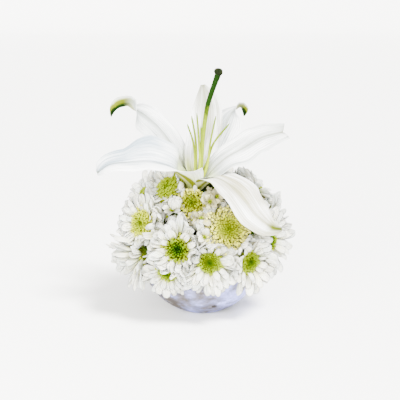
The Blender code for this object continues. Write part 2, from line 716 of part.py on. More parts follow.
def make_mums(white, green, sites, mums, blocks):
    for number, mum in enumerate(mums, 1):
        draw = random.Random(SEED * 100 + number)
        reach = mum["reach"] + 12
        planes = cell_planes(mum, sites) + block_planes(mum["place"], blocks, reach)
        outer = planes + bowl_planes(mum["place"])
        make_object(f"mum_{number:02d}_rays", *mum_petals(mum, outer, draw), white)
        make_object(f"mum_{number:02d}_heart", *mum_heart(mum, planes, draw), green)


def floret(points, faces, root, foot, centre, face, radius, turn, shoulders):
    """Grows a stalk and a five-petalled floret, a shallow lobed dish, from a root triangle."""
    side, up = frame_about(face)

    def trio(middle, across, over):
        points.extend(circle(middle, across, over, 0.8, 3))
        return list(range(len(points) - 3, len(points)))

    knee_side, knee_up = frame_about(foot - np.mean([points[k] for k in root], axis=0))
    knee = trio(foot, knee_side, knee_up)
    collar = trio(centre - face * FLORET_THICK, side, up)
    for low, high in ((root, knee), (knee, collar)):
        turns = [sum(np.linalg.norm(points[low[k]] - points[high[(k + n) % 3]]) for k in range(3))
                 for n in range(3)]
        n = turns.index(min(turns))
        stitch(faces, low, high[n:] + high[:n])
    rings = []
    for lift in (-FLORET_THICK, 0.0):
        start = len(points)
        for petal in range(5):
            for degrees, share in shoulders:
                a = math.radians(degrees + 72 * petal) + turn
                spot = centre + radius * share * (math.cos(a) * side + math.sin(a) * up)
                points.append(spot + face * (lift + 0.18 * radius * share))
        rings.append(list(range(start, len(points))))
    stitch(faces, collar, rings[0])
    stitch(faces, rings[0], rings[1])
    points.append(centre)
    faces += [(a, b, len(points) - 1) for a, b in zip(rings[1], rings[1][1:] + rings[1][:1])]


def fitted(centre, radius, axis_point, planes):
    """A floret's centre and radius, drawn in and shrunk until it clears the planes."""
    for _ in range(30):
        if worst(planes, centre, radius + 0.8) <= 0:
            break
        centre = centre + 0.12 * (axis_point - centre)
        radius = max(0.95 * radius, 3.2)
    return centre, radius


def spray_mesh(spray, planes, draw):
    """A stem with one wide floret at its head and three smaller ones below it, as one skin."""
    place, room = spray["place"], spray["room"]
    out = unit(place - HEART)
    side, up = frame_about(out)
    head = place - out * 9
    points, faces = [], []
    rings = []
    foot, neck = HEART + out * STEM_END, head - out * 2.5
    for centre, radius, turn in ((foot, SPRAY_STEM_R, 0), (neck, SPRAY_STEM_R, 0), (head, 2.4, 0),
                                 (head + out * 2.2, 1.8, 0.5)):
        points.extend(circle(centre, side, up, radius, 3, turn))
        rings.append(list(range(len(points) - 3, len(points))))
    faces.append(tuple(rings[0]))
    stitch(faces, rings[0], rings[1])
    stitch(faces, rings[1], rings[2])
    low, high = rings[2], rings[3]
    turn = draw.uniform(0, 1)
    centre, radius = fitted(place + out * 3, FLORET_R, place, planes)
    floret(points, faces, list(high), head + out * 4.5, centre, out, radius, turn, WIDE_OUTLINE)
    for k in range(3):
        faces.append((low[k], high[k], high[k - 1]))
        root = [low[k], low[(k + 1) % 3], high[k]]
        a = 2 * math.pi * (k + 0.5) / 3
        lean = math.cos(a) * side + math.sin(a) * up
        centre = place + lean * room * 0.8 - out * (3.6 + draw.uniform(0, 1.2))
        centre, radius = fitted(centre, 0.58 * FLORET_R, place - out * 4 + lean * 5, planes)
        radius = min(radius, (centre - head) @ lean - 1.4)
        floret(points, faces, root, head + lean * 3.6 + out * 1.0, centre, unit(out + 0.5 * lean),
               radius, draw.uniform(0, 1), NARROW_OUTLINE)
    return points, faces


def make_sprays(material, sites, sprays, blocks):
    for number, spray in enumerate(sprays, 1):
        draw = random.Random(SEED * 1000 + number)
        planes = cell_planes(spray, sites) + block_planes(spray["place"], blocks, 30)
        make_object(f"spray_{number}", *spray_mesh(spray, planes, draw), material)


def main():
    for obj in list(bpy.data.objects):
        bpy.data.objects.remove(obj)
    bpy.context.scene.unit_settings.scale_length = 1.0
    glaze = make_material("pale glaze", (0.55, 0.57, 0.68), 0.55)
    foam_green = make_material("wet foam", (0.05, 0.12, 0.04), 0.95)
    lily_white = make_material("lily white", (0.90, 0.91, 0.88), 0.45)
    lily_green = make_material("lily green", (0.10, 0.22, 0.02), 0.50)
    lily_pale = make_material("filament green", (0.55, 0.66, 0.20), 0.50)
    mum_white = make_material("mum white", (0.88, 0.90, 0.88), 0.55)
    mum_green = make_material("mum green", (0.33, 0.46, 0.03), 0.65)
    floret_white = make_material("floret white", (0.85, 0.85, 0.80), 0.55)

    mums = mum_list()
    sprays = [dict(place=np.array(place, float), room=room) for place, room in SPRAYS]
    for mum in mums:
        mum["stem_way"] = stem_way(mum)
    sites = mums + sprays
    make_bowl(glaze)
    fixed = [(unit(spray["place"] - HEART), SPRAY_STEM_R) for spray in sprays]
    fixed.append((unit(lily_knee() - HEART), LILY_STEM_R))
    spread_ways(mums, fixed)
    make_foam(foam_green, [(mum["stem_way"], STEM_R) for mum in mums] + fixed)
    blocks = make_lily(lily_white, lily_green, lily_pale)
    make_mums(mum_white, mum_green, sites, mums, blocks)
    make_sprays(floret_white, sites, sprays, blocks)


main()
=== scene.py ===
# %% [markdown]
# # A bowl of cut flowers
# One open lily stands over a dome of white daisy mums and small white florets, in a low pale bowl.
# The solids that carry the weight and the collisions are already made, and this script loads them first.
# Everything after that is look: finer petals, real flower eyes, glaze and light, each laid over its solid.

# %% Load the solids
import math
import random

import bmesh
import bpy
import numpy as np
from mathutils import Matrix, Vector


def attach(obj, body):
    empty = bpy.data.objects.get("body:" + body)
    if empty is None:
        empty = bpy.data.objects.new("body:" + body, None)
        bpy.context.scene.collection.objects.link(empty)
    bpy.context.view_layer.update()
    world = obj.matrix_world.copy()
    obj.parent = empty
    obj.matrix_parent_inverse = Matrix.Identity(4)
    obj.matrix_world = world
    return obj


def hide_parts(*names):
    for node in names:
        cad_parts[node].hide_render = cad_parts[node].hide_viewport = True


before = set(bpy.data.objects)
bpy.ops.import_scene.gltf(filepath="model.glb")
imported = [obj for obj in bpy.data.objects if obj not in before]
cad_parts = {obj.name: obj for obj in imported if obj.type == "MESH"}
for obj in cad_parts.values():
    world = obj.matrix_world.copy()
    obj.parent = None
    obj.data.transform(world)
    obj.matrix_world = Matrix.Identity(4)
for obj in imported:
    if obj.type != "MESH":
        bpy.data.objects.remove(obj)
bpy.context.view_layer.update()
print("solids:", len(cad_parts))

# %% [markdown]
# ## Sizes
# The sizes are in millimetres, because flowers are easier to think about that way. MM turns them into
# metres when a mesh is made. The heads all grow from one point deep in the foam, HEART, as cut stems do
# in a block of wet foam, so one list of places gives the whole dome.

# %% Sizes of the arrangement
MM = 0.001
SEED = 11
BOWL_R, FOOT_R, BOWL_WALL, RIM_Z = 61.0, 24.0, 4.0, 56.0
BOWL_CENTRE = np.array([0.0, 0.0, math.sqrt(BOWL_R**2 - FOOT_R**2)])
HEART = np.array([0.0, 0.0, 72.0])
FOAM_R = 41.0
STEM_END = 23.5
GOLDEN_ANGLE = math.pi * (3 - math.sqrt(5))

# Each mum: head centre, the way it faces, disc radius, petal reach, room among its neighbours, kind of eye
MUMS = [
    ((-22.5, -70, 78.6), (-0.22, -0.96, 0.10), 11.5, 37, 19, "dark"),
    ((6.9, -72, 66.2), (0.05, -0.99, 0.05), 10.5, 36, 18, "green"),
    ((44.2, -58, 63.0), (0.57, -0.81, -0.08), 10.5, 36, 18, "green"),
    ((22.8, -60, 94.0), (0.25, -0.88, 0.40), 13.0, 23, 19, "cream"),
    ((-9.1, -46, 114.9), (-0.10, -0.80, 0.59), 10.5, 17, 13, "olive"),
    ((-31.9, -26, 127.2), (-0.40, -0.67, 0.63), 11.0, 31, 17, "yellow"),
    ((-56.2, -42, 96.6), (-0.64, -0.73, 0.24), 12.0, 34, 19, "pale"),
    ((-55.1, -8, 117.2), (-0.78, -0.22, 0.58), 9.0, 34, 19, "yellow"),
    ((-60.0, -38, 63.0), (-0.86, -0.25, -0.44), 9.0, 40, 16, "side"),
    ((62.3, -38, 78.8), (0.80, -0.59, 0.10), 10.0, 41, 18, "dark"),
    ((70.1, -2, 92.4), (0.97, -0.05, 0.25), 9.0, 37, 18, "green"),
    ((54.4, 8, 119.0), (0.70, 0.00, 0.71), 9.0, 34, 19, "yellow"),
    ((-32.5, -66.5, 55.5), (-0.40, -0.80, -0.42), 9.0, 31, 12, "green"),
]
# Rings of mums round the back: elevation above HEART, distance from it, and each head's bearing
BACK_RINGS = [(-1, 73, (24, 57, 90, 123, 156, 188)), (35, 71, (50, 95, 142)), (66, 58, (62,))]
BACK_EYES = ["green", "yellow", "dark", "green", "pale", "green", "yellow", "dark", "green", "yellow"]
# Sprays of small florets in the gaps: centre and room
SPRAYS = [((-27.0, -46, 109.0), 11), ((-42.0, -56, 87.0), 11), ((-1.0, -57, 104.0), 9),
          ((12.0, -48, 121.0), 11), ((2.0, -66, 89.0), 12), ((48.0, -52, 91.0), 10),
          ((19.0, 63, 96.0), 10), ((-33.0, 57, 96.0), 10)]
BACK_HEAD = dict(disc=9.0, reach=34, room=19)


def unit(v):
    """A direction, with length 1."""
    v = np.asarray(v, float)
    return v / np.linalg.norm(v)


def mum_list():
    """Every mum as a dictionary, the ones at the back worked out from their rings."""
    mums = [dict(place=np.array(place, float), face=unit(face), disc=disc, reach=reach, room=room, eye=eye)
            for place, face, disc, reach, room, eye in MUMS]
    back_eyes = iter(BACK_EYES)
    for elevation, distance, bearings in BACK_RINGS:
        for bearing in bearings:
            el, az = math.radians(elevation), math.radians(bearing)
            out = np.array([math.cos(el) * math.cos(az), math.cos(el) * math.sin(az), math.sin(el)])
            mums.append(dict(place=HEART + distance * out, face=out, eye=next(back_eyes), **BACK_HEAD))
    return mums


mums = mum_list()
sprays = [dict(place=np.array(place, float), room=room) for place, room in SPRAYS]
print("mums:", len(mums), "sprays:", len(sprays))

# %% [markdown]
# ## Camera
# The photograph was taken from a little above the rim with a long lens, so the bowl's foot hardly
# narrows. A lens of 81 mm at 0.9 m gives that flat view, and makes one pixel about one millimetre.

# %% Camera
TARGET = Vector((-2.0, 0.0, 110.4)) * MM
DISTANCE, ELEVATION = 0.9, math.radians(12)
LENS, SENSOR = 81.0, 36.0


def placed(name, data):
    """A new object in the scene that holds a mesh, a lamp or a camera."""
    holder = bpy.data.objects.new(name, data)
    bpy.context.scene.collection.objects.link(holder)
    return holder


camera = placed("camera", bpy.data.cameras.new("camera"))
camera.data.lens, camera.data.sensor_width = LENS, SENSOR
camera.location = TARGET + DISTANCE * Vector((0, -math.cos(ELEVATION), math.sin(ELEVATION)))
camera.rotation_euler = (TARGET - camera.location).to_track_quat("-Z", "Y").to_euler()
bpy.context.scene.camera = camera
print("camera height:", round(camera.location.z, 3), "m")

# %% [markdown]
# ## Light and floor
# A white flower shows its form only by soft shade, so the light is one wide soft source from the upper
# right, a large panel near the camera on the left, and a bright even sky. The floor is pale and matte, and
# sweeps up far behind into a round backdrop, so that no horizon shows from any side.

# %% Lights
WHITE_LIGHT, WINDOW_LIGHT = (1.0, 0.99, 0.97), (1.0, 0.985, 0.96)
WINDOW_FROM, WINDOW_STRENGTH, WINDOW_WIDTH = Vector((0.46, -0.62, 1.04)), 20.0, math.radians(17)
PANEL_PLACE, PANEL_SIZE, PANEL_WATTS = Vector((-0.45, -1.0, 0.46)), 0.8, 46
SKY_STRENGTH = 2.2


def lamp(name, kind, energy, colour):
    """A lamp in the scene, still to be aimed."""
    light = bpy.data.lights.new(name, kind)
    light.energy, light.color = energy, colour
    return placed(name, light)


window = lamp("window", "SUN", WINDOW_STRENGTH, WINDOW_LIGHT)
window.data.angle = WINDOW_WIDTH
window.rotation_euler = WINDOW_FROM.to_track_quat("Z", "Y").to_euler()
panel = lamp("bounce", "AREA", PANEL_WATTS, WHITE_LIGHT)
panel.data.shape, panel.data.size = "DISK", PANEL_SIZE
panel.location = PANEL_PLACE
panel.rotation_euler = (TARGET - PANEL_PLACE).to_track_quat("-Z", "Y").to_euler()
bpy.context.scene.world = bpy.data.worlds.new("sky")
bpy.context.scene.world.use_nodes = True
background = bpy.context.scene.world.node_tree.nodes["Background"]
background.inputs["Color"].default_value = (*WHITE_LIGHT, 1)
background.inputs["Strength"].default_value = SKY_STRENGTH
print("lamps:", window.name, "and", panel.name)

# %% Floor
FLOOR_R, SWEEP_R, WALL_TOP, FLOOR_SIDES = 11.0, 4.0, 5.0, 64


def new_mesh(name, points, faces=(), edges=()):
    """A mesh from points, and faces or edges that give them by number."""
    mesh = bpy.data.meshes.new(name)
    mesh.from_pydata([tuple(p) for p in points], edges, faces)
    return mesh


def ring_faces(rings, sides, closed=False):
    """Quads from each ring of points to the next, and from the last to the first if closed."""
    faces = []
    for i in range(rings if closed else rings - 1):
        low, high = i * sides, (i + 1) % rings * sides
        faces += [(low + k, low + (k + 1) % sides, high + (k + 1) % sides, high + k) for k in range(sides)]
    return faces


def new_material(name, roughness, **sockets):
    """A material with its shader's constant sockets set on the shader itself."""
    material = bpy.data.materials.new(name)
    material.use_nodes = True
    shader = material.node_tree.nodes["Principled BSDF"]
    shader.inputs["Roughness"].default_value = roughness
    for key, value in sockets.items():
        shader.inputs[key.replace("_", " ")].default_value = value
    return material, material.node_tree, shader


floor_rings = [(1.0, 0.0), (FLOOR_R - 1.0, 0.0), (FLOOR_R, 0.0)]
for angle in np.radians(np.linspace(10, 90, 9)):
    floor_rings.append((FLOOR_R + SWEEP_R * math.sin(angle), SWEEP_R * (1 - math.cos(angle))))
floor_rings.append((FLOOR_R + SWEEP_R, WALL_TOP))
bearings = [2 * math.pi * k / FLOOR_SIDES for k in range(FLOOR_SIDES)]
floor_points = [(r * math.cos(a), r * math.sin(a), z) for r, z in floor_rings for a in bearings]
floor_faces = [face[::-1] for face in ring_faces(len(floor_rings), FLOOR_SIDES)]
floor = placed("floor", new_mesh("floor", floor_points, [tuple(range(FLOOR_SIDES)), *floor_faces]))
floor.data.shade_smooth()
floor.data.materials.append(new_material("pale floor", 0.9, Base_Color=(0.91, 0.91, 0.90, 1),
                                         Specular_IOR_Level=0.1)[0])
print("floor placed:", len(floor_points), "points")

# %% [markdown]
# ## Finishes
# A petal is thin and lets light through, so its finish mixes surface colour with a little light under
# the skin. Its veins run along it, and a pattern that follows the petal needs the petal's own
# coordinates: every blade below stores how far along and how far across each point lies. Node trees hold
# long sums, so a small class lets them be written as sums: along * 2 adds the Math node for it.

# %% Wires between nodes


class Wire:
    """A wire from a node's output. A sum on wires adds the Math nodes that do it."""

    def __init__(self, tree, socket):
        self.tree, self.socket = tree, socket

    def through(self, operation, *others):
        """This wire, and any others, through one Math node."""
        node = self.tree.nodes.new("ShaderNodeMath")
        node.operation = operation
        for socket, value in zip(node.inputs, (self, *others)):
            connect(self.tree, value, socket)
        return Wire(self.tree, node.outputs[0])

    def __add__(self, other):
        return self.through("ADD", other)

    def __sub__(self, other):
        return self.through("SUBTRACT", other)

    def __rsub__(self, other):
        return self * -1.0 + other

    def __mul__(self, other):
        return self.through("MULTIPLY", other)

    def __truediv__(self, other):
        return self.through("DIVIDE", other)

    def __pow__(self, power):
        return self.through("POWER", power)

    def __abs__(self):
        return self.through("ABSOLUTE")

    def at_least(self, low):
        return self.through("MAXIMUM", low)


def connect(tree, value, socket):
    """Feeds a socket from a wire, another socket or a node's first output, or sets it to a constant."""
    if isinstance(value, Wire):
        value = value.socket
    elif isinstance(value, bpy.types.Node):
        value = value.outputs[0]
    if isinstance(value, bpy.types.NodeSocket):
        tree.links.new(value, socket)
    else:
        socket.default_value = value


def add(tree, kind, inputs=None, **settings):
    """Adds a node with its settings, and sets or links its inputs."""
    node = tree.nodes.new(kind)
    for key, value in settings.items():
        setattr(node, key, value)
    for key, value in (inputs or {}).items():
        connect(tree, value, node.inputs[key])
    return node


# %% Helpers for finishes


def stored(tree, name):
    """A value that a mesh stores at its points."""
    return Wire(tree, add(tree, "ShaderNodeAttribute", attribute_name=name).outputs["Fac"])


def ramp(tree, factor, stops):
    """A colour ramp with (place, colour) stops."""
    node = add(tree, "ShaderNodeValToRGB", {"Fac": factor})
    elements = node.color_ramp.elements
    while len(elements) < len(stops):
        elements.new(0.5)
    for element, (place, colour) in zip(elements, stops):
        element.position = place
        element.color = (*colour, 1)
    return Wire(tree, node.outputs["Color"])


def fade(tree, factor, *stops):
    """A number that follows (place, number) stops."""
    return ramp(tree, factor, [(place, (number, number, number)) for place, number in stops])


def blend(tree, factor, low, high, mode="MIX"):
    """Two colours mixed by a factor."""
    node = tree.nodes.new("ShaderNodeMix")
    node.data_type, node.blend_type = "RGBA", mode
    for key, value in (("Factor", factor), ("A", low), ("B", high)):
        socket = next(s for s in node.inputs if s.name == key and s.enabled)
        connect(tree, (*value, 1) if isinstance(value, tuple) else value, socket)
    return Wire(tree, next(s for s in node.outputs if s.enabled))


def times(tree, colour, other):
    """One colour darkened by another."""
    return blend(tree, 1.0, colour, other, "MULTIPLY")


def grey(tree, number):
    """A number as a colour."""
    return add(tree, "ShaderNodeCombineColor", {"Red": number, "Green": number, "Blue": number})


def noise(tree, scale, detail, stretch=(1, 1, 1)):
    """Noise on the object's own coordinates, in cells of 1/scale metres."""
    place = add(tree, "ShaderNodeTexCoord").outputs["Object"]
    mapped = add(tree, "ShaderNodeMapping", {"Vector": place, "Scale": stretch})
    node = add(tree, "ShaderNodeTexNoise", {"Vector": mapped, "Scale": scale, "Detail": detail})
    return Wire(tree, node.outputs["Fac"])


def paint(tree, shader, colour, height=None, strength=1.0, distance=0.0):
    """Gives a shader its colour, and a bump of a height, in metres at its full distance."""
    connect(tree, colour, shader.inputs["Base Color"])
    if height is not None:
        bump = add(tree, "ShaderNodeBump", {"Height": height, "Strength": strength, "Distance": distance})
        connect(tree, bump, shader.inputs["Normal"])


# %% Petal finishes


def veins(tree, count):
    """Fine lines along a blade: a wave over the across coordinate, from 0 in a groove to 1 on a ridge."""
    wave = stored(tree, "across") * (count * math.pi)
    return wave.through("COSINE") * 0.5 + 0.5


def petal_finish(name, base, middle, tip, vein_count, translucent=0.22, gloss=0.3):
    """Petals with a greener root, a soft mottle, and fine ridges with painted shade in the hollows between
    them.
    """
    material, tree, shader = new_material(
        name, 0.5, Subsurface_Weight=translucent, Subsurface_Scale=0.0014,
        Subsurface_Radius=(0.85, 0.92, 1.0), Specular_IOR_Level=gloss)
    half_way = tuple(0.5 * (b + m) for b, m in zip(base, middle))
    body = ramp(tree, stored(tree, "along"), [(0.0, base), (0.14, base), (0.26, half_way), (0.42, middle),
                                              (0.70, tip), (1.0, tip)])
    mottle = noise(tree, 160, 3) * 0.20 + 0.89
    # some petals are a little cooler and darker, others warmer
    tint = blend(tree, stored(tree, "tone"), (0.83, 0.88, 0.92), (1.0, 0.99, 0.91))
    ridges = veins(tree, vein_count)
    # painted shade: the hollows between the fine ridges are darker and warmer
    groove_shade = blend(tree, ridges, (0.89, 0.88, 0.78), (1, 1, 1))
    toned = times(tree, times(tree, body, grey(tree, mottle)), tint)
    paint(tree, shader, times(tree, toned, groove_shade), ridges, 1.0, 0.0010)
    return material


mum_white = petal_finish("mum petal", (0.16, 0.20, 0.001), (0.88, 0.88, 0.62), (0.97, 0.97, 0.92), 5, 0.45)
floret_white = petal_finish("floret petal", (0.26, 0.28, 0.01), (0.72, 0.71, 0.50), (0.90, 0.89, 0.80), 5)
# painted shade: a darker, creamier copy of the floret finish, for the sprays that sit in the lily's shade
floret_shaded = petal_finish("shaded floret petal", (0.22, 0.23, 0.01), (0.46, 0.42, 0.20),
                            (0.58, 0.53, 0.31), 5)
print("petal finishes made")

# %% [markdown]
# ## One tree for everything that is a blade
# Mum petals, the petals of small florets and the green bracts behind a head are the same thing at
# different sizes: a thin blade swept along a line. So the lines are worked out first, with the way up and
# the half width stored at each point, and one Geometry Nodes tree gives all of them their body. A lens
# shaped section is swept along each line, cupped and scaled by the stored width.

# %% The blade tree


def new_tree(name, **inputs):
    """A geometry tree with a Geometry socket at each end, a Material, and the number inputs given."""
    tree = bpy.data.node_groups.new(name, "GeometryNodeTree")
    for label, end, kind in (("Geometry", "OUTPUT", "NodeSocketGeometry"),
                             ("Geometry", "INPUT", "NodeSocketGeometry"),
                             ("Material", "INPUT", "NodeSocketMaterial")):
        tree.interface.new_socket(name=label, in_out=end, socket_type=kind)
    for label, value in inputs.items():
        kind = "NodeSocketInt" if isinstance(value, int) else "NodeSocketFloat"
        socket = tree.interface.new_socket(name=label.replace("_", " "), in_out="INPUT", socket_type=kind)
        socket.default_value = value
    given = tree.nodes.new("NodeGroupInput").outputs
    return tree, {socket.name: Wire(tree, socket) for socket in given}


def named(tree, name, kind="FLOAT"):
    """A value that the points of a geometry carry."""
    return add(tree, "GeometryNodeInputNamedAttribute", {"Name": name}, data_type=kind).outputs["Attribute"]


def marked(tree, geometry, name, value):
    """Stores a number at each point of a geometry."""
    return add(tree, "GeometryNodeStoreNamedAttribute",
               {"Geometry": geometry, "Name": name, "Value": value}, data_type="FLOAT", domain="POINT")


def swept(tree, lines, section):
    """A section swept along lines and scaled by their stored half width."""
    return add(tree, "GeometryNodeCurveToMesh",
               {"Curve": lines, "Profile Curve": section, "Scale": named(tree, "half"), "Fill Caps": True})


def finish_tree(tree, geometry, material):
    """Ends a tree: smooth, real geometry with its material."""
    smooth = add(tree, "GeometryNodeSetShadeSmooth", {"Geometry": geometry})
    real = add(tree, "GeometryNodeRealizeInstances", {"Geometry": smooth})
    coloured = add(tree, "GeometryNodeSetMaterial", {"Geometry": real, "Material": material})
    add(tree, "NodeGroupOutput", {"Geometry": coloured})


def blade_tree():
    """A tree that sweeps a thin, cupped section along each line."""
    tree, given = new_tree("blades along lines", Sides=8, Thickness=0.1, Cup=0.2)
    circle = add(tree, "GeometryNodeCurvePrimitiveCircle", {"Resolution": given["Sides"], "Radius": 1.0})
    spot = add(tree, "ShaderNodeSeparateXYZ", {0: add(tree, "GeometryNodeInputPosition")}).outputs
    across = Wire(tree, spot["Y"])
    height = Wire(tree, spot["X"]) * given["Thickness"] + across * across * given["Cup"]
    place = add(tree, "ShaderNodeCombineXYZ", {"X": height, "Y": across})
    section = add(tree, "GeometryNodeSetPosition", {"Geometry": circle, "Position": place})
    lines = add(tree, "GeometryNodeMeshToCurve", {"Mesh": given["Geometry"]})
    turned = add(tree, "GeometryNodeSetCurveNormal",
                 {"Curve": lines, "Normal": named(tree, "up", "FLOAT_VECTOR")}, mode="FREE")
    finish_tree(tree, swept(tree, turned, marked(tree, section, "across", across)), given["Material"])
    return tree


blade_nodes = blade_tree()
print("blade tree:", len(blade_nodes.nodes), "nodes")

# %% Growing a piece from its lines
KEPT_VALUES = ("along", "across", "tone", "radial", "position", "sharp_face", "material_index")


def store(mesh, name, values):
    """Stores a number, or a direction, at each point of a mesh."""
    values = np.asarray(values, np.float32)
    kind, key = ("FLOAT_VECTOR", "vector") if values.ndim == 2 else ("FLOAT", "value")
    mesh.attributes.new(name, kind, "POINT").data.foreach_set(key, values.ravel())


def line_mesh(guides):
    """Guides as loose edges. Each has path, up, half and tone; along runs from 0 at its root to 1."""
    points, edges = [], []
    values = {"half": [], "along": [], "tone": [], "up": []}
    for guide in guides:
        path, start = guide["path"], len(points)
        points.extend(path)
        edges += [(start + k, start + k + 1) for k in range(len(path) - 1)]
        values["half"].extend(np.asarray(guide["half"]) * MM)
        values["along"].extend(guide.get("along", np.linspace(0, 1, len(path))))
        values["tone"].extend([guide["tone"]] * len(path))
        values["up"].extend(guide["up"])
    mesh = new_mesh("lines", np.array(points) * MM, edges=edges)
    for name, column in values.items():
        store(mesh, name, column)
    return mesh


def grow(name, mesh, tree, material, **inputs):
    """Runs a tree on a mesh of lines or points and keeps the result as a plain mesh object."""
    source = placed(name + "_source", mesh)
    modifier = source.modifiers.new("grow", "NODES")
    modifier.node_group = tree
    values = {label.replace("_", " "): value for label, value in inputs.items()}
    values["Material"] = material
    for socket in tree.interface.items_tree:
        if socket.in_out == "INPUT" and socket.name in values:
            modifier[socket.identifier] = values[socket.name]
    graph = bpy.context.evaluated_depsgraph_get()
    result = bpy.data.meshes.new_from_object(source.evaluated_get(graph))
    source.modifiers.remove(modifier)
    bpy.data.objects.remove(source)
    for label in [a.name for a in result.attributes]:
        if label not in KEPT_VALUES and not label.startswith("."):
            result.attributes.remove(result.attributes[label])
    return new_piece(name, result)


def new_piece(name, mesh):
    """A piece with its faces pointing outwards."""
    shell = bmesh.new()
    shell.from_mesh(mesh)
    if shell.calc_volume(signed=True) < 0:
        bmesh.ops.reverse_faces(shell, faces=shell.faces)
        shell.to_mesh(mesh)
    shell.free()
    mesh.name = name
    return placed(name, mesh)


def joined(name, pieces):
    """Several meshes as one piece, each keeping its material."""
    first = pieces[0]
    with bpy.context.temp_override(active_object=first, selected_editable_objects=pieces):
        bpy.ops.object.join()
    first.name = first.data.name = name
    return first


def dress(piece, node):
    """Hands a finished piece to the frame: it rides on the body and stands for its solid."""
    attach(piece, "root")
    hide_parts(node)


print("a piece keeps:", ", ".join(KEPT_VALUES[:4]))

# %% [markdown]
# ## The space that each head may fill
# Heads crowd each other in a tight dome. Each has a cell, bounded by planes through HEART between it and
# its neighbours, and its petals turn up where they meet a plane, just as pressed petals do. The petals
# may pass a few millimetres into the next cell, so that neighbours weave into each other. More planes
# keep them off the bowl, the foam and the lily's tepals.

# %% Paths and tables
FINE_STEPS = 12  # points from each given point of a path to the next


def frame_about(axis):
    """Two unit vectors across axis: the first level, the second the way up leans."""
    axis = unit(axis)
    side = unit(np.cross((0.0, 0.0, 1.0), axis))
    return side, np.cross(axis, side)


def smooth_path(points, count):
    """Count points evenly spaced along a smooth curve through the given ones."""
    points = [np.asarray(p, float) for p in points]
    ends = [2 * points[0] - points[1], *points, 2 * points[-1] - points[-2]]
    fine = []
    for a, b, c, d in zip(ends, ends[1:], ends[2:], ends[3:]):
        for t in np.linspace(0, 1, FINE_STEPS, endpoint=False):
            fine.append(0.5 * (2 * b + (c - a) * t + (2 * a - 5 * b + 4 * c - d) * t**2
                               + (3 * b - a - 3 * c + d) * t**3))
    return even(np.array([*fine, points[-1]]), np.linspace(0, 1, count))


def even(path, shares):
    """The points of a path at the given shares of its length."""
    length = np.concatenate([[0], np.cumsum(np.linalg.norm(np.diff(path, axis=0), axis=1))])
    return np.array([np.interp(np.asarray(shares) * length[-1], length, path[:, k]) for k in range(3)]).T


def table_at(table, t):
    """The value at t of a table of (t, value) rows."""
    return np.interp(t, [row[0] for row in table], [row[1] for row in table])


print("halfway along a bent path:", even(np.array([(0, 0, 0), (1, 0, 0), (1, 1, 0)]), [0.5])[0])

# %% Space for each head
WEAVE = 4.0  # how far petals reach past the border of their cell
CLEAR, FOAM_CLEAR = 0.6, 1.0  # how far they stay off the bowl and the lily, and off the foam
NEIGHBOURS = math.radians(100)  # heads further round the dome than this don't meet
TURNS = 12  # how often a plane is turned towards the point that it cuts deepest


class Space:
    """Half spaces that a flower stays inside."""

    def __init__(self, planes):
        self.normals = np.array([normal for normal, _ in planes])
        self.offsets = np.array([offset for _, offset in planes])

    def past(self, point):
        """How far a point lies past the plane that it breaks most, below 0 if it breaks none."""
        return float((self.normals @ point - self.offsets).max())


def cell_planes(own, sites):
    """Planes between a head and its neighbours, set by the room that each of the two needs."""
    planes = []
    here = unit(own["place"] - HEART)
    for other in sites:
        if other is own:
            continue
        there = unit(other["place"] - HEART)
        angle = math.acos(max(-1.0, min(1.0, here @ there)))
        if angle > NEIGHBOURS:
            continue
        share = angle * own["room"] / (own["room"] + other["room"])
        sideways = unit(there - here * (here @ there))
        normal = sideways * math.cos(share) - here * math.sin(share)
        planes.append((normal, normal @ HEART + WEAVE))
    return planes


def bowl_planes(place):
    """Planes that keep a flower off the bowl and the foam."""
    out, dome = unit(place - BOWL_CENTRE), unit(place - HEART)
    return [(-out, -(out @ BOWL_CENTRE) - BOWL_R - CLEAR), (-dome, -(dome @ HEART) - FOAM_R - FOAM_CLEAR)]


def block_planes(place, blocks, reach):
    """Planes that keep a flower at place clear of blocks of points of other pieces."""
    planes = []
    for block in blocks:
        nearest = block[np.argmin(np.linalg.norm(block - place, axis=1))]
        normal = unit(nearest - place)
        best = (normal, float((block @ normal).min()))
        for _ in range(TURNS):
            lowest = block[np.argmin(block @ normal)]
            normal = unit(0.7 * normal + 0.3 * unit(lowest - place))
            offset = float((block @ normal).min())
            if offset - normal @ place > best[1] - best[0] @ place:
                best = (normal, offset)
        if best[1] - best[0] @ place < reach:
            planes.append((best[0], best[1] - CLEAR))
    return planes


print("heads to place:", len(mums) + len(sprays))

# %% [markdown]
# ## The lily
# A lily's six tepals are broad and reflexed, each with a groove down its middle that shows as a green
# keel behind. Near the base they roll round each other into a trumpet. Each tepal is a grid of rows along
# its midrib: a row starts at the midrib and steps outwards to both sides, and the slope of each step says
# how far the blade is folded, rolled or ruffled there. A modelled sheet like this keeps its width however
# much it bends, as a real petal does.

# %% Tepal shapes
LILY_BASE = np.array([-11.0, -17.0, 119.5])
LILY_THROAT = np.array([-1.0, -24.0, 145.0])
lily_axis = unit(LILY_THROAT - LILY_BASE)
lily_side, lily_up = frame_about(lily_axis)
CUP_R, CUP_H, CLAW_R = 6.8, 7.0, 5.9
TEPAL_THICK = 0.8
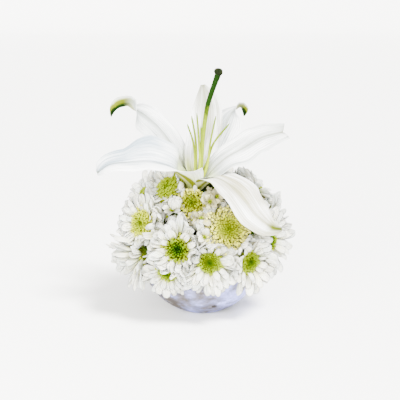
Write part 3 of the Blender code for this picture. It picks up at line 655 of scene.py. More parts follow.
# Each tepal: midrib points; the way its upper face looks; the width of its two sides along its length
# (0 base, 1 tip), each as if the whole blade were that wide; the fold along its midrib in degrees; the
# stretch over which its rolled claw opens; how far a side droops towards the tip; and how deep its tip
# is notched
TEPALS = {
    "front": dict(
        midrib=[(-3, -29, 129), (5, -37, 137), (13, -45, 141), (23, -54, 138), (33, -62, 131), (41, -68, 122),
                (48, -72, 113), (57, -73, 105), (66, -71, 99), (74, -68, 97)],
        faces=[(0.3, (0.1, -0.3, 0.95)), (0.5, (0.45, -0.6, 0.66)), (0.8, (0.4, -0.75, 0.5)),
               (1, (0.2, -0.8, 0.5))],
        widths=([(0, 8), (0.1, 14), (0.2, 20), (0.3, 22), (0.4, 30), (0.5, 42), (0.6, 44), (0.75, 35),
                 (0.88, 20), (1, 4)],
                [(0, 8), (0.1, 11), (0.2, 15), (0.3, 20), (0.4, 27), (0.5, 38), (0.6, 45), (0.75, 40),
                 (0.88, 26), (1, 4)]),
        fold=[(0, 12)], opens=(0.14, 0.36), droop=(0, 0)),
    "left": dict(
        midrib=[(-16, -27, 132), (-23, -34, 142), (-32, -39, 150), (-50, -43, 155), (-70, -45, 155),
                (-87, -44, 153), (-99, -42, 145)],
        faces=[(0.3, (0.2, -0.5, 0.85)), (0.5, (0, -0.62, 0.79)), (1, (0, -0.62, 0.79))],
        widths=([(0, 8), (0.1, 20), (0.18, 44), (0.26, 54), (0.36, 46), (0.5, 38), (0.66, 36), (0.8, 34),
                 (0.92, 26), (1, 8)],
                [(0, 8), (0.1, 18), (0.2, 34), (0.3, 42), (0.45, 50), (0.56, 55), (0.66, 46), (0.76, 31),
                 (0.89, 24), (0.96, 18), (1, 6)]),
        fold=[(0, 40)], opens=(0.2, 0.42), droop=(0.75, 0)),
    "back_left": dict(
        midrib=[(-13, -11, 135), (-19, -5, 148), (-30, 3, 165), (-44, 9, 182), (-58, 12, 194),
                (-68.4, 11, 200.3), (-73.2, 10, 204), (-77.4, 8, 203.6), (-81.2, 6, 202.8),
                (-85, 4, 200.5), (-87.8, 2, 196.8), (-89.4, 1, 194)],
        faces=[(0.3, (0.3, -0.8, 0.4)), (0.6, (0.25, -0.85, 0.45)), (0.74, (0.15, -0.7, 0.7)),
               (0.82, (0, 0.1, 1)), (0.90, (-0.2, 0.4, 0.85)), (1, (-0.7, 0.6, 0.3))],
        widths=([(0, 8), (0.1, 14), (0.2, 24), (0.35, 32), (0.5, 34), (0.60, 36), (0.68, 40), (0.74, 36),
                 (0.79, 27), (0.86, 28), (0.91, 24), (0.96, 12), (1, 1.5)],
                [(0, 8), (0.1, 14), (0.2, 22), (0.35, 25), (0.5, 28), (0.60, 26), (0.70, 28), (0.76, 24),
                 (0.80, 14), (0.84, 9), (0.90, 8), (0.95, 6), (1, 1.5)]),
        fold=[(0, 18), (0.74, 18), (0.84, 45), (1, 50)], opens=(0.14, 0.38), droop=(0, 0)),
    "back": dict(
        midrib=[(-6, -12, 135), (-2, -4, 154), (1, 4, 172), (3, 9, 190), (3, 13, 206), (1, 15, 224)],
        faces=[(0.3, (0.1, -0.98, 0.15)), (1, (0.1, -0.98, 0.15))],
        widths=([(0, 8), (0.1, 14), (0.22, 26), (0.4, 34), (0.6, 35), (0.8, 28), (0.92, 15), (1, 5)],
                [(0, 8), (0.1, 14), (0.22, 26), (0.4, 34), (0.6, 36), (0.8, 33), (0.9, 25), (0.96, 14),
                 (1, 5)]),
        fold=[(0, 14)], opens=(0.14, 0.38), droop=(0, 0)),
    "back_right": dict(
        midrib=[(-1, -12, 135), (8, -2, 153), (17, 8, 172), (25, 16, 188), (30.1, 20, 195.3),
                (36.1, 21, 200.7), (39.1, 20.5, 201.4), (40.3, 19.5, 199.3), (41.5, 18.5, 195.5),
                (42.3, 18, 192.3)],
        faces=[(0.3, (-0.3, -0.9, 0.2)), (0.7, (-0.2, -0.9, 0.35)), (0.82, (-0.1, -0.7, 0.7)),
               (0.89, (0, 0.1, 1)), (0.94, (0.4, 0.5, 0.75)), (1, (0.7, 0.6, 0.3))],
        widths=([(0, 8), (0.1, 14), (0.22, 26), (0.4, 33), (0.58, 33), (0.70, 30), (0.78, 24), (0.84, 14),
                 (0.89, 8), (0.95, 6), (1, 1.5)],
                [(0, 8), (0.1, 14), (0.22, 26), (0.4, 33), (0.56, 37), (0.70, 39), (0.78, 32), (0.84, 12),
                 (0.88, 10), (0.92, 17), (0.96, 13), (0.98, 8), (1, 1.5)]),
        fold=[(0, 16), (0.8, 16), (0.88, 45), (1, 50)], opens=(0.14, 0.38), droop=(0, 0)),
    "right": dict(
        midrib=[(1, -20, 131), (10, -22, 144), (23, -22, 156), (40, -19, 165), (56, -15, 174),
                (68, -12, 177.5), (78.5, -11, 180)],
        faces=[(0.3, (-0.35, -0.58, 0.74)), (1, (-0.25, -0.6, 0.76))],
        widths=([(0, 8), (0.1, 14), (0.22, 25), (0.4, 26), (0.5, 27), (0.6, 31), (0.75, 36), (0.88, 31),
                 (0.94, 24), (0.97, 22), (1, 19)],
                [(0, 8), (0.1, 14), (0.22, 29), (0.4, 47), (0.6, 57), (0.75, 54), (0.88, 42), (0.95, 31),
                 (1, 22)]),
        fold=[(0, 24), (0.7, 26), (1, 20)], opens=(0.14, 0.36), droop=(0, 0.30), notch=4.5),
}
STATIONS = 64  # rows along a tepal
HALF_STEPS = 12  # steps from its midrib to each edge

# %% Tepal grids
TURN = 6.28  # a turn, near enough for the start of a random wave
GROOVE, GROOVE_WIDTH = 0.9, 0.12  # how much steeper the fold is along the midrib, and over what share
FLATTER, RECURVE = 0.25, 0.22  # how much of the fold is lost at the edge, and how far that rolls back
RUFFLES = ((0.16, 13), (0.09, 29))  # height and closeness of the two waves along an edge
RUFFLE_SLOPE = 1.6
TIGHTEST = 4.5  # the smallest radius that the claw rolls round
SHUT_FOLD = 0.3  # how much of the fold the rolled claw has


def off_axis(point):
    """The way from the lily's axis out to a point."""
    arm = np.asarray(point, float) - LILY_BASE
    return arm - lily_axis * (arm @ lily_axis)


def tepal_grid(tepal, stations, half_steps, draw=None):
    """Rows of points on a tepal's upper face, and the way each point's surface looks."""
    out = unit(off_axis(tepal["midrib"][0]))
    start = [LILY_BASE - 5 * lily_axis + CLAW_R * out, LILY_BASE + lily_axis + (CLAW_R + 0.4) * out]
    path = smooth_path([*start, *tepal["midrib"]], stations)
    tangents = np.gradient(path, axis=0)
    starts = [[draw.uniform(0, TURN) for _ in RUFFLES] for _ in (0, 1)] if draw else [(0, 0)] * 2
    faces, notch = tepal["faces"], tepal.get("notch", 0.0)
    shut, full = tepal["opens"]
    uppers, looks = [], []
    for k, (point, tangent) in enumerate(zip(path, tangents)):
        t = k / (stations - 1)
        tangent = unit(tangent)
        opened = min(max((t - shut) / (full - shut), 0.0), 1.0)
        opened = opened * opened * (3 - 2 * opened)
        facing = unit([np.interp(t, [row[0] for row in faces], [row[1][i] for row in faces])
                       for i in range(3)])
        look = -out * (1 - opened) + facing * opened
        normal = unit(look - tangent * (look @ tangent))
        across = np.cross(tangent, normal)
        fold = math.radians(table_at(tepal["fold"], t)) * (SHUT_FOLD + (1 - SHUT_FOLD) * opened)
        sides = []
        for way, waves, widths, droop in zip((-1.0, 1.0), starts, tepal["widths"], tepal["droop"]):
            step = 0.5 * table_at(widths, t) / half_steps
            roll = (1 - opened) * step / max(np.linalg.norm(off_axis(point)), TIGHTEST)
            sag = droop * table_at([(0.55, 0), (0.85, 1)], t)
            spot, row = point, []
            for n in range(half_steps):
                share = (n + 0.5) / half_steps
                groove = 1.0 + GROOVE * math.exp(-(share / GROOVE_WIDTH) ** 2)
                slope = fold * groove * (1 - FLATTER * share) + roll * (n + 0.5)
                slope -= (RECURVE * opened + sag) * share**1.5
                if draw:
                    ruffle = sum(size * math.sin(close * t + wave)
                                 for (size, close), wave in zip(RUFFLES, waves))
                    slope += opened * share**2 * ruffle * RUFFLE_SLOPE
                spot = spot + step * (across * way * math.cos(slope) + normal * math.sin(slope))
                lobe = tangent * notch * share**0.8 * table_at([(0.88, 0), (1, 1)], t)
                row.append((spot + lobe, normal * math.cos(slope) - across * way * math.sin(slope)))
            sides.append(row)
        whole = sides[0][::-1] + [(point, normal)] + sides[1]
        uppers.append([spot for spot, _ in whole])
        looks.append([lean for _, lean in whole])
    return np.array(uppers), np.array(looks)


print("tepal grids:", STATIONS, "rows of", 2 * HALF_STEPS + 1)

# %% Closed pieces
GREEN_FADE = 0.05  # over what share of the length a green tip begins
EDGE_THIN = 0.75  # how much of the thickness is lost at the edge


def sheet_mesh(name, uppers, looks, tone, green_tip):
    """A closed thin sheet below a tepal's grid, with the values that its finish reads at its points."""
    rows, columns = uppers.shape[:2]
    along, across = np.linspace(0, 1, rows), np.linspace(-1, 1, columns)
    start, strength, width = green_tip
    green = np.outer(np.clip((along - start) / GREEN_FADE, 0, 1) * strength, np.exp(-(across / width) ** 2))
    # off: how far each point lies from the midrib, in millimetres over the surface
    centre = columns // 2
    steps = np.linalg.norm(np.diff(uppers, axis=1), axis=2)
    off = np.zeros((rows, columns))
    off[:, centre + 1:] = np.cumsum(steps[:, centre:], axis=1)
    off[:, :centre] = np.cumsum(steps[:, :centre][:, ::-1], axis=1)[:, ::-1]
    thin = TEPAL_THICK * (1 - EDGE_THIN * np.abs(across) ** 3)[None, :, None]
    middle = uppers - looks * TEPAL_THICK / 2
    points = np.concatenate([(middle + looks * thin / 2).reshape(-1, 3),
                             (middle - looks * thin / 2).reshape(-1, 3)])
    shift = rows * columns
    faces = []
    for i in range(rows - 1):
        for j in range(columns - 1):
            a, b = i * columns + j, i * columns + j + 1
            c, d = b + columns, a + columns
            faces += [(a, b, c, d), (a + shift, d + shift, c + shift, b + shift)]
        for a, d in ((i * columns, (i + 1) * columns), ((i + 2) * columns - 1, (i + 1) * columns - 1)):
            faces.append((a, d, d + shift, a + shift))
    for i in (0, rows - 1):
        for j in range(columns - 1):
            a, b = i * columns + j, i * columns + j + 1
            faces.append((a, b, b + shift, a + shift) if i else (b, a, a + shift, b + shift))
    return built(name, points, faces, lily_white, along=np.tile(np.repeat(along, columns), 2),
                 across=np.tile(across, 2 * rows), under=np.repeat([0.0, 1.0], shift), tone=tone,
                 green=np.tile(green.ravel(), 2), off=np.tile(off.ravel(), 2))


def outward(mesh):
    """Points the faces of a closed mesh outwards."""
    shell = bmesh.new()
    shell.from_mesh(mesh)
    bmesh.ops.recalc_face_normals(shell, faces=shell.faces)
    shell.to_mesh(mesh)
    shell.free()


def built(name, points, faces, material, **values):
    """A smooth closed piece from points in millimetres, with values stored at its points."""
    mesh = new_mesh(name, np.asarray(points) * MM, faces)
    for label, column in values.items():
        store(mesh, label, np.broadcast_to(column, len(points)))
    outward(mesh)
    mesh.shade_smooth()
    mesh.materials.append(material)
    return new_piece(name, mesh)


print("points in a tepal:", 2 * STATIONS * (2 * HALF_STEPS + 1))

# %% [markdown]
# The lily's white is cooler and waxier than the mums'. Green wells up from its throat, runs out along
# each keel and returns at the tips. The same stored values place it: along from base to tip, across from
# the midrib to an edge, off in millimetres from the midrib, and under for the outer face, where the keel
# is greenest.

# %% Lily finish
KEEL_GREEN = (0.12, 0.135, 0.0003)


def lily_finish():
    """The tepals' finish: a white with painted shade in streaks, a green throat, keel lines and green hooked
    tips.
    """
    material, tree, shader = new_material(
        "lily tepal", 0.42, Subsurface_Scale=0.0015, Subsurface_Radius=(0.9, 0.95, 1.0), Coat_Roughness=0.35,
        Specular_IOR_Level=0.05)
    along, across, under, off, tone, green = (
        stored(tree, name) for name in ("along", "across", "under", "off", "tone", "green"))
    inside = 1.0 - under

    def drawn_out(by_across, by_along, by_tone, **sizes):
        """Noise drawn out along the tepals, and another pattern for each tone."""
        place = add(tree, "ShaderNodeCombineXYZ",
                    {"X": across * by_across, "Y": along * by_along, "Z": tone * by_tone})
        return Wire(tree, add(tree, "ShaderNodeTexNoise", {"Vector": place, **sizes}).outputs["Fac"])

    # painted shade: the white darkens in long soft streaks and wide blotches to a shade colour, cool
    # grey-blue on some tepals and warm beige on others
    streak = drawn_out(5.0, 1.6, 30.0, Scale=1.0, Detail=4.0, Roughness=0.65)
    patch = drawn_out(1.1, 1.8, 17.0, Scale=1.3, Detail=1.0)
    # painted light: on the left tepal (tone 0) the lower half of the blade is painted lighter, with less of
    # the painted shade
    lip = tone.through("LESS_THAN", 0.1) * (across * -1.0).at_least(0.0)
    light = lip * 0.35 + (patch * 0.9 + streak * 0.8)
    painted_shade = blend(tree, tone, (0.27, 0.335, 0.39), (0.36, 0.34, 0.23))
    white = blend(tree, fade(tree, light, (0.70, 0), (1.0, 1)), painted_shade, (0.90, 0.915, 0.91))
    # green wells up from the throat, less at the margins of the outer face
    margin = abs(across) ** 1.6 * under
    throat = margin * 0.30 + (inside * 0.06 + (along - 0.13))
    deep = ramp(tree, throat, [(0.0, (0.09, 0.15, 0.002)), (0.10, (0.22, 0.28, 0.001)),
                               (0.20, (0.60, 0.70, 0.03))])
    body = blend(tree, fade(tree, throat, (0.05, 0), (0.16, 0.45), (0.30, 1)), deep, white)
    # inside, a fine keel line; outside, a pale rib with a green line on each side of it
    far = off + (noise(tree, 60, 2) * 1.2 - 0.6)
    rib = (along * -32.0 + 14.0).at_least(1.4)
    middle_line = fade(tree, far * 0.2, (0.0, 1), (0.20, 0.8), (0.44, 0))
    side_line = fade(tree, abs((far - rib) * 0.2), (0.0, 1), (0.34, 1), (0.70, 0))
    lines = middle_line.at_least(side_line) * under + middle_line * inside * 0.5
    reach = fade(tree, along, (0.0, 1), (0.32, 1), (0.55, 0.46), (0.86, 0.50), (1.0, 0.9))
    # painted shade along the midrib groove: the shade colour on the inner face, a beige green on the outer
    # face
    midrib_shade = fade(tree, far * 0.1, (0.0, 0.62), (0.5, 0.24), (1.0, 0))
    body = blend(tree, midrib_shade, body, blend(tree, under, painted_shade, (0.50, 0.50, 0.22)))
    body = blend(tree, lines * reach, body, KEEL_GREEN)
    # the hooked tips: dark along the keel, lime beside it, white at the edge
    rim = abs(across) - (along - 0.93).at_least(0.0) * 11.0
    outer = ramp(tree, rim, [(0.0, (0.002, 0.012, 0.0001)), (0.16, (0.004, 0.020, 0.0001)),
                             (0.26, (0.07, 0.09, 0.0001)), (0.38, (0.12, 0.145, 0.0001)),
                             (0.58, (0.15, 0.175, 0.0001)), (0.70, (0.40, 0.43, 0.16)),
                             (0.82, (0.66, 0.69, 0.62))])
    inner = ramp(tree, rim, [(0.0, (0.07, 0.09, 0.0001)), (0.60, (0.15, 0.175, 0.0002)),
                             (0.85, (0.46, 0.49, 0.28))])
    body = blend(tree, green, body, blend(tree, under, inner, outer))
    # only the white is waxy and lets light through
    plain = 1.0 - green
    connect(tree, plain * 0.1, shader.inputs["Subsurface Weight"])
    connect(tree, plain * 0.06, shader.inputs["Coat Weight"])
    fine = veins(tree, 16)
    shade = (noise(tree, 90, 3) * 0.12 + 0.93) * (fine * 0.12 + 0.88)
    paint(tree, shader, times(tree, body, grey(tree, shade)), fine + streak * 2.0, 0.7, 0.0008)
    return material


lily_white = lily_finish()
print("lily finish:", len(lily_white.node_tree.nodes), "nodes")

# %% Finishes of stalks


def stalk_finish(name, stops):
    """Green stalks with colours from foot to tip and faint streaks."""
    material, tree, shader = new_material(name, 0.6, Specular_IOR_Level=0.03)
    streak = noise(tree, 300, 3)
    place = streak * 0.14 + (stored(tree, "along") - 0.07)
    paint(tree, shader, ramp(tree, place, stops), streak, 0.2, 0.0003)
    return material


style_green = stalk_finish("lily style", [(0.0, (0.36, 0.44, 0.01)), (0.30, (0.21, 0.27, 0.0006)),
                                          (0.60, (0.12, 0.17, 0.0002)), (0.72, (0.004, 0.018, 0.0001)),
                                          (1.0, (0.002, 0.012, 0.0001))])
filament_green = stalk_finish("lily filament", [(0.0, (0.42, 0.50, 0.02)), (0.36, (0.34, 0.42, 0.006)),
                                                (0.62, (0.14, 0.19, 0.0003)), (1.0, (0.08, 0.13, 0.0002))])
stem_green = stalk_finish("cut stem", [(0.0, (0.04, 0.09, 0.003)), (1.0, (0.02, 0.055, 0.002))])
print("stalk finishes made")

# %% Tepals and cup


def circle(centre, side, up, radius, sides):
    """Points round a circle."""
    turns = [2 * math.pi * k / sides for k in range(sides)]
    return [centre + radius * (math.cos(a) * side + math.sin(a) * up) for a in turns]


def lofted(rings, first_tip, last_tip):
    """Points and faces of a closed skin over rings of equal counts, drawn to a point at both ends."""
    sides = len(rings[0])
    points, faces = [p for ring in rings for p in ring], ring_faces(len(rings), sides)
    for low, tip in ((0, first_tip), (sides * (len(rings) - 1), last_tip)):
        points.append(tip)
        faces += [(low + k, low + (k + 1) % sides, len(points) - 1) for k in range(sides)]
    return points, faces


# Where each green tip starts, how green it is and how wide, as a share of the half width
GREEN_TIPS = {"back_left": (0.815, 1.0, 9.0), "back_right": (0.885, 1.0, 9.0), "front": (0.87, 1.0, 0.62)}
FAINT_TIP = (0.97, 0.8, 0.5)
# how warm each tepal's painted shade is, cool grey-blue at 0 and warm beige at 1, with its own streak
# pattern; at 0 the left tepal also gets its painted lighter lower half
SHADE_WARMTH = {"left": 0.0, "back_left": 0.35, "back": 0.75, "back_right": 0.3, "right": 0.45, "front": 1.0}
CUP_SIDES = 36
draw = random.Random(SEED)
tepal_pieces, lily_blocks = [], []
for tepal_name, tepal in TEPALS.items():
    uppers, looks = tepal_grid(tepal, STATIONS, HALF_STEPS, draw)
    tepal_pieces.append(sheet_mesh(tepal_name, uppers, looks, SHADE_WARMTH[tepal_name],
                                   GREEN_TIPS.get(tepal_name, FAINT_TIP)))
    # a coarse copy in blocks, for the mums to keep clear of
    coarse, _ = tepal_grid(tepal, 9, 2)
    lily_blocks += [np.concatenate([a, b]) for a, b in zip(coarse, coarse[1:])]

cup_profile = [(CUP_H, CUP_R - 2.0), (CUP_H * 0.85, CUP_R - 1.0), (CUP_H * 0.6, CUP_R - 0.1),
               (CUP_H * 0.3, CUP_R + 0.2), (0, CUP_R + 0.2), (-1.0, CUP_R - 0.8)]
cup_rings = [circle(LILY_BASE - lily_axis * h, lily_side, lily_up, r, CUP_SIDES) for h, r in cup_profile]
cup_skin = lofted(cup_rings, LILY_BASE - lily_axis * CUP_H, LILY_BASE + lily_axis * 0.2)
cup = built("cup", *cup_skin, lily_white, along=0, across=1, under=1, tone=0, green=0, off=9)
lily_petals = joined("lily_petals", [*tepal_pieces, cup])
dress(lily_petals, "lily_tepals")
print("lily tepals:", len(lily_petals.data.polygons), "faces")

# %% [markdown]
# The six filaments and the style are stalks of changing thickness. A second tree sweeps a round section
# along each line with the stored half width, so a stalk can swell or taper anywhere. The stigma is a
# three-lobed knob, which is a turned form with its radius waved three times round.

# %% The stalk tree and filaments
STAMEN_RING = (2.9, 3.9)
FILAMENT_R, THREAD_POINTS, COLLAR_SIDES = 1.2, 26, 32
FILAMENTS = [
    [(-7, -24, 143), (-8, -29, 170), (-14, -34, 191)],
    [(-6.5, -19.5, 146), (-6, -23, 172), (-10, -28, 198)],
    [(-2.5, -29, 148), (-3, -34, 174), (-5, -40, 202)],
    [(-2.5, -16.5, 148), (-1, -13, 168), (-1, -10, 186)],
    [(4.5, -25, 148), (8, -27, 173), (13, -30, 198)],
    [(3.5, -20, 148), (11, -24, 171), (26, -30, 191)],
]
PISTIL = [(-1.2, -23.2, 145), (0.8, -26.5, 177), (4.4, -29.5, 204), (8.4, -32, 219), (16.3, -36, 242)]


def stalk_tree():
    """A tree that sweeps a round section along each line."""
    tree, given = new_tree("stalks along lines", Sides=8)
    lines = add(tree, "GeometryNodeMeshToCurve", {"Mesh": given["Geometry"]})
    section = add(tree, "GeometryNodeCurvePrimitiveCircle", {"Resolution": given["Sides"], "Radius": 1.0})
    finish_tree(tree, swept(tree, lines, section), given["Material"])
    return tree


def stalk(path, radii):
    """A guide for the stalk tree."""
    return dict(path=path, up=[(0, 0, 1)] * len(path), half=radii, tone=0.5)


stalk_nodes = stalk_tree()
ring_inner, ring_outer = STAMEN_RING
threads = []
for stops in FILAMENTS:
    out = unit(off_axis(stops[0]))
    start = LILY_BASE + lily_axis * 1.0 + out * 0.5 * sum(STAMEN_RING)
    path = smooth_path([start, LILY_BASE + lily_axis * 5 + out * ring_outer, *stops], THREAD_POINTS)
    radii = FILAMENT_R * (1.35 - 0.70 * np.linspace(0, 1, THREAD_POINTS))
    radii[-1] *= 0.45
    threads.append(stalk(path, radii))
filaments = grow("filaments", line_mesh(threads), stalk_nodes, filament_green, Sides=8)
collar_points = []
for height, radius in ((0.3, ring_inner), (0.3, ring_outer), (2.0, ring_outer), (2.6, ring_inner + 0.5),
                       (2.0, ring_inner)):
    collar_points += circle(LILY_BASE + lily_axis * height, lily_side, lily_up, radius, COLLAR_SIDES)
collar = built("collar", collar_points, ring_faces(5, COLLAR_SIDES, closed=True), filament_green, along=0)
lily_threads = joined("lily_threads", [filaments, collar])
dress(lily_threads, "lily_stamens")
print("filaments:", len(threads))

# %% Style and stigma
STYLE_POINTS, KNOB_SIDES, KNOB_RINGS = 60, 36, 12
STYLE_RADII = [(0, 1.5), (0.03, 2.2), (0.13, 2.3), (0.2, 1.6), (0.35, 1.8), (0.55, 2.0), (0.75, 2.3),
               (0.9, 2.6), (0.95, 3.0), (1.0, 2.2)]
STIGMA_R, LOBES = 4.1, 3


def stigma_finish():
    """A dull brown-green with darker spots."""
    material, tree, shader = new_material("lily stigma", 0.7, Specular_IOR_Level=0.03)
    spots = noise(tree, 700, 3)
    colour = ramp(tree, spots, [(0.42, (0.002, 0.005, 0.001)), (0.58, (0.006, 0.009, 0.002)),
                                (0.76, (0.022, 0.015, 0.010))])
    paint(tree, shader, colour, spots, 0.6, 0.0005)
    return material


path = smooth_path([LILY_BASE + lily_axis * 0.4, LILY_BASE + lily_axis * 12, *PISTIL], STYLE_POINTS)
style_radii = table_at(STYLE_RADII, np.linspace(0, 1, STYLE_POINTS))
style = grow("style", line_mesh([stalk(path, style_radii)]), stalk_nodes, style_green, Sides=14)
tip = path[-1]
way = unit(tip - path[-4])
knob_side, knob_up = frame_about(way)
knob_rings = []
for share in np.linspace(0.06, 0.94, KNOB_RINGS):
    angle = math.pi * share
    centre = tip + way * (-3.4 * math.cos(angle) - 2.2)
    ring = []
    for k in range(KNOB_SIDES):
        a = 2 * math.pi * k / KNOB_SIDES
        r = STIGMA_R * math.sin(angle) ** 0.75 * (1.0 + 0.17 * math.cos(LOBES * a) * math.sin(angle))
        ring.append(centre + r * (math.cos(a) * knob_side + math.sin(a) * knob_up))
    knob_rings.append(ring)
knob = built("stigma", *lofted(knob_rings, tip - way * 5.6, tip + way * 0.7), stigma_finish())
lily_style = joined("lily_style", [style, knob])
dress(lily_style, "lily_pistil")


def refinish(node, material):
    """Gives a solid that shows as it is its finish."""
    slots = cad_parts[node].data.materials
    slots.clear()
    slots.append(material)


refinish("lily_stem", stem_green)
print("lily style and stem made")

# %% [markdown]
# ## Mum petals
# A mum head has rows of petals round its eye. The inner rows stand up, the outer ones lie flat or curl
# back, and no two petals are alike. Each petal's line is marched outwards a millimetre at a time, and
# turns up where it meets the border of its cell. Length, tilt, twist and sideways drift vary a little
# from petal to petal, from a seeded source, so that the bouquet comes out the same every time.

# %% Petal lines
PETAL_SHARES = np.array([0.0, 0.10, 0.24, 0.42, 0.60, 0.77, 0.90, 0.97, 1.0])
PETAL_FULLNESS = np.array([0.30, 0.42, 0.62, 0.84, 0.98, 1.0, 0.82, 0.52, 0.20])
FLORET_FULLNESS = np.array([0.22, 0.40, 0.70, 0.93, 1.0, 0.95, 0.76, 0.48, 0.18])
LOOK_AHEAD, TURN_UP, MOST_TURNED = 5.0, 0.15, math.radians(-5)
NEAR, STOP = -0.8, -0.4  # a petal turns up this near to a border, and ends this near


def around(angle, side, up):
    """The way out at an angle round a head, and the way along its rim there."""
    return (math.cos(angle) * side + math.sin(angle) * up, -math.sin(angle) * side + math.cos(angle) * up)


def marched(centre, out, face, start, tilt, curl, length, space, rim):
    """A midline marched outwards in its half plane, turned up where it meets its space."""
    rho, height = start
    points = [centre + out * rho + face * height]
    gone = 0.0
    while gone < length:
        step = out * math.sin(tilt) + face * math.cos(tilt)
        if space.past(points[-1] + step * LOOK_AHEAD) > NEAR:
            if (points[-1] - centre) @ out < rim:
                if space.past(points[-1] + step) > 0:
                    break
            elif tilt > MOST_TURNED:
                tilt -= TURN_UP
                step = out * math.sin(tilt) + face * math.cos(tilt)
        else:
            tilt += curl
        if space.past(points[-1] + step) > STOP:
            break
        points.append(points[-1] + step)
        gone += 1.0
    return np.array(points)


def petal_guide(path, along, fullness, half, draw, drift=0.0, twist=0.0):
    """A guide for the blade tree from a midline and the direction that lies across the petal."""
    length = len(path) - 1
    sideways = drift * (np.linspace(0, 1, len(path)) ** 2)[:, None] * length * along
    path = even(path + sideways, PETAL_SHARES)
    ups = []
    for share, tangent in zip(PETAL_SHARES, np.gradient(path, axis=0)):
        tangent = unit(tangent)
        up = unit(np.cross(tangent, along))
        angle = twist * share
        ups.append(up * math.cos(angle) + np.cross(up, tangent) * math.sin(angle))
    return dict(path=path, up=ups, half=half * fullness, tone=draw.random(), along=PETAL_SHARES)


# %% Mum petals
# Rows for each kind of head: count, share of the reach, height of the root, tilt in degrees, curl a
# millimetre and half width. Those at the back have fewer, and a half-open head, seen from the side,
# a cone of them.
PETAL_ROWS = {
    "daisy": [(12, 0.66, 1.0, 48, 0.018, 3.3), (15, 0.82, 0.3, 62, 0.007, 3.9),
              (17, 0.95, -0.8, 75, 0.003, 4.3), (16, 1.02, -2.2, 87, 0.004, 4.4),
              (12, 0.98, -3.4, 98, 0.008, 4.2)],
    "back": [(13, 0.75, 0.6, 56, 0.008, 4.0), (16, 0.92, -0.6, 72, 0.003, 4.4),
             (15, 1.0, -2.6, 88, 0.004, 4.4)],
    "cream": [(30, 0.86, -0.5, 66, 0.004, 1.9), (28, 0.98, -2.0, 80, 0.003, 2.4),
              (20, 1.05, -3.2, 92, 0.003, 3.0)],
    "olive": [(22, 1.02, -0.5, 66, 0.004, 2.0), (20, 1.25, -2.0, 84, 0.004, 2.8)],
    "side": [(10, 0.85, 1.0, 20, 0.012, 3.6), (13, 0.95, 0.0, 33, 0.010, 4.2),
             (15, 1.0, -1.0, 46, 0.008, 4.3), (13, 1.0, -2.4, 60, 0.006, 4.2)],
}
ROOT_SHARE = 0.72  # how far out on its disc a petal is rooted
SHORTEST = 6  # points of a petal that is worth keeping


def mum_petal_guides(mum, number, space, draw):
    """Guides of all the petals of a mum, row by row."""
    face, centre, root_r = mum["face"], mum["place"], ROOT_SHARE * mum["disc"]
    side, up = frame_about(face)
    plain_rows = PETAL_ROWS["daisy" if number <= len(MUMS) else "back"]
    guides = []
    for count, share, root, tilt, curl, half in PETAL_ROWS.get(mum["eye"], plain_rows):
        phase = draw.random()
        for k in range(count):
            out, along = around(2 * math.pi * (k + phase + draw.uniform(-0.38, 0.38)) / count, side, up)
            lean = math.radians(tilt + draw.uniform(-12, 9))
            length = mum["reach"] * share - root_r - draw.uniform(0, 6)
            start = (root_r, root + draw.uniform(-0.7, 0.7) - 1.0)
            path = marched(centre, out, face, start, lean, curl, length, space, mum["disc"] + 1.0)
            if len(path) < SHORTEST:
                continue
            width = half * draw.uniform(0.72, 1.16) * min(1.0, len(path) / 14)
            guides.append(petal_guide(path, along, PETAL_FULLNESS, width, draw,
                                      draw.uniform(-0.14, 0.14), draw.uniform(-0.7, 0.7)))
    return guides


sites = mums + sprays
spaces = [Space(cell_planes(site, sites) + block_planes(site["place"], lily_blocks, 46)
                + bowl_planes(site["place"])) for site in sites]

petal_total = 0
for number, (mum, space) in enumerate(zip(mums, spaces), 1):
    guides = mum_petal_guides(mum, number, space, random.Random(SEED * 100 + number))
    material = floret_white if mum["eye"] in ("cream", "olive") else mum_white
    petals = grow(f"mum_{number:02d}_petals", line_mesh(guides), blade_nodes, material, Sides=8,
                  Thickness=0.09, Cup=0.36)
    dress(petals, f"mum_{number:02d}_rays")
    petal_total += len(guides)
print("mum petals:", petal_total)

# %% [markdown]
# ## Mum eyes
# The eye of a daisy mum is itself a tight dome of tiny florets, set in the spiral that packs them evenly:
# each one is a golden angle further round than the last. Those at the middle are shut green buds, those
# at the rim have opened into little yellow-green tubes. A tree places points on that spiral over a dome
# and stands a bud or a tube on each.

# %% The eye tree
BUD_PROFILE = [(0.0, 0.55), (0.35, 0.80), (0.70, 0.62), (0.95, 0.25)]
TUBE_PROFILE = [(0.0, 0.42), (0.50, 0.50), (0.85, 0.80), (1.0, 0.95), (0.92, 0.55), (0.62, 0.22)]
TIP_DEPTH = 0.06  # a bud's tip stands this far above its last ring, a tube's this far below
TUBE_SIDES = 6


def small_turned(name, profile, tip):
    """A small closed turned shape with (height, radius) rows, one unit high, used as an instance."""
    side, depth, up = np.eye(3)
    rings = [circle(up * h, side, depth, r, TUBE_SIDES) for h, r in profile]
    points, faces = lofted(rings, up * 0.0, up * (profile[-1][0] + tip))
    mesh = new_mesh(name, points, faces)
    outward(mesh)
    store(mesh, "along", [p[2] for p in points])
    return placed(name, mesh)


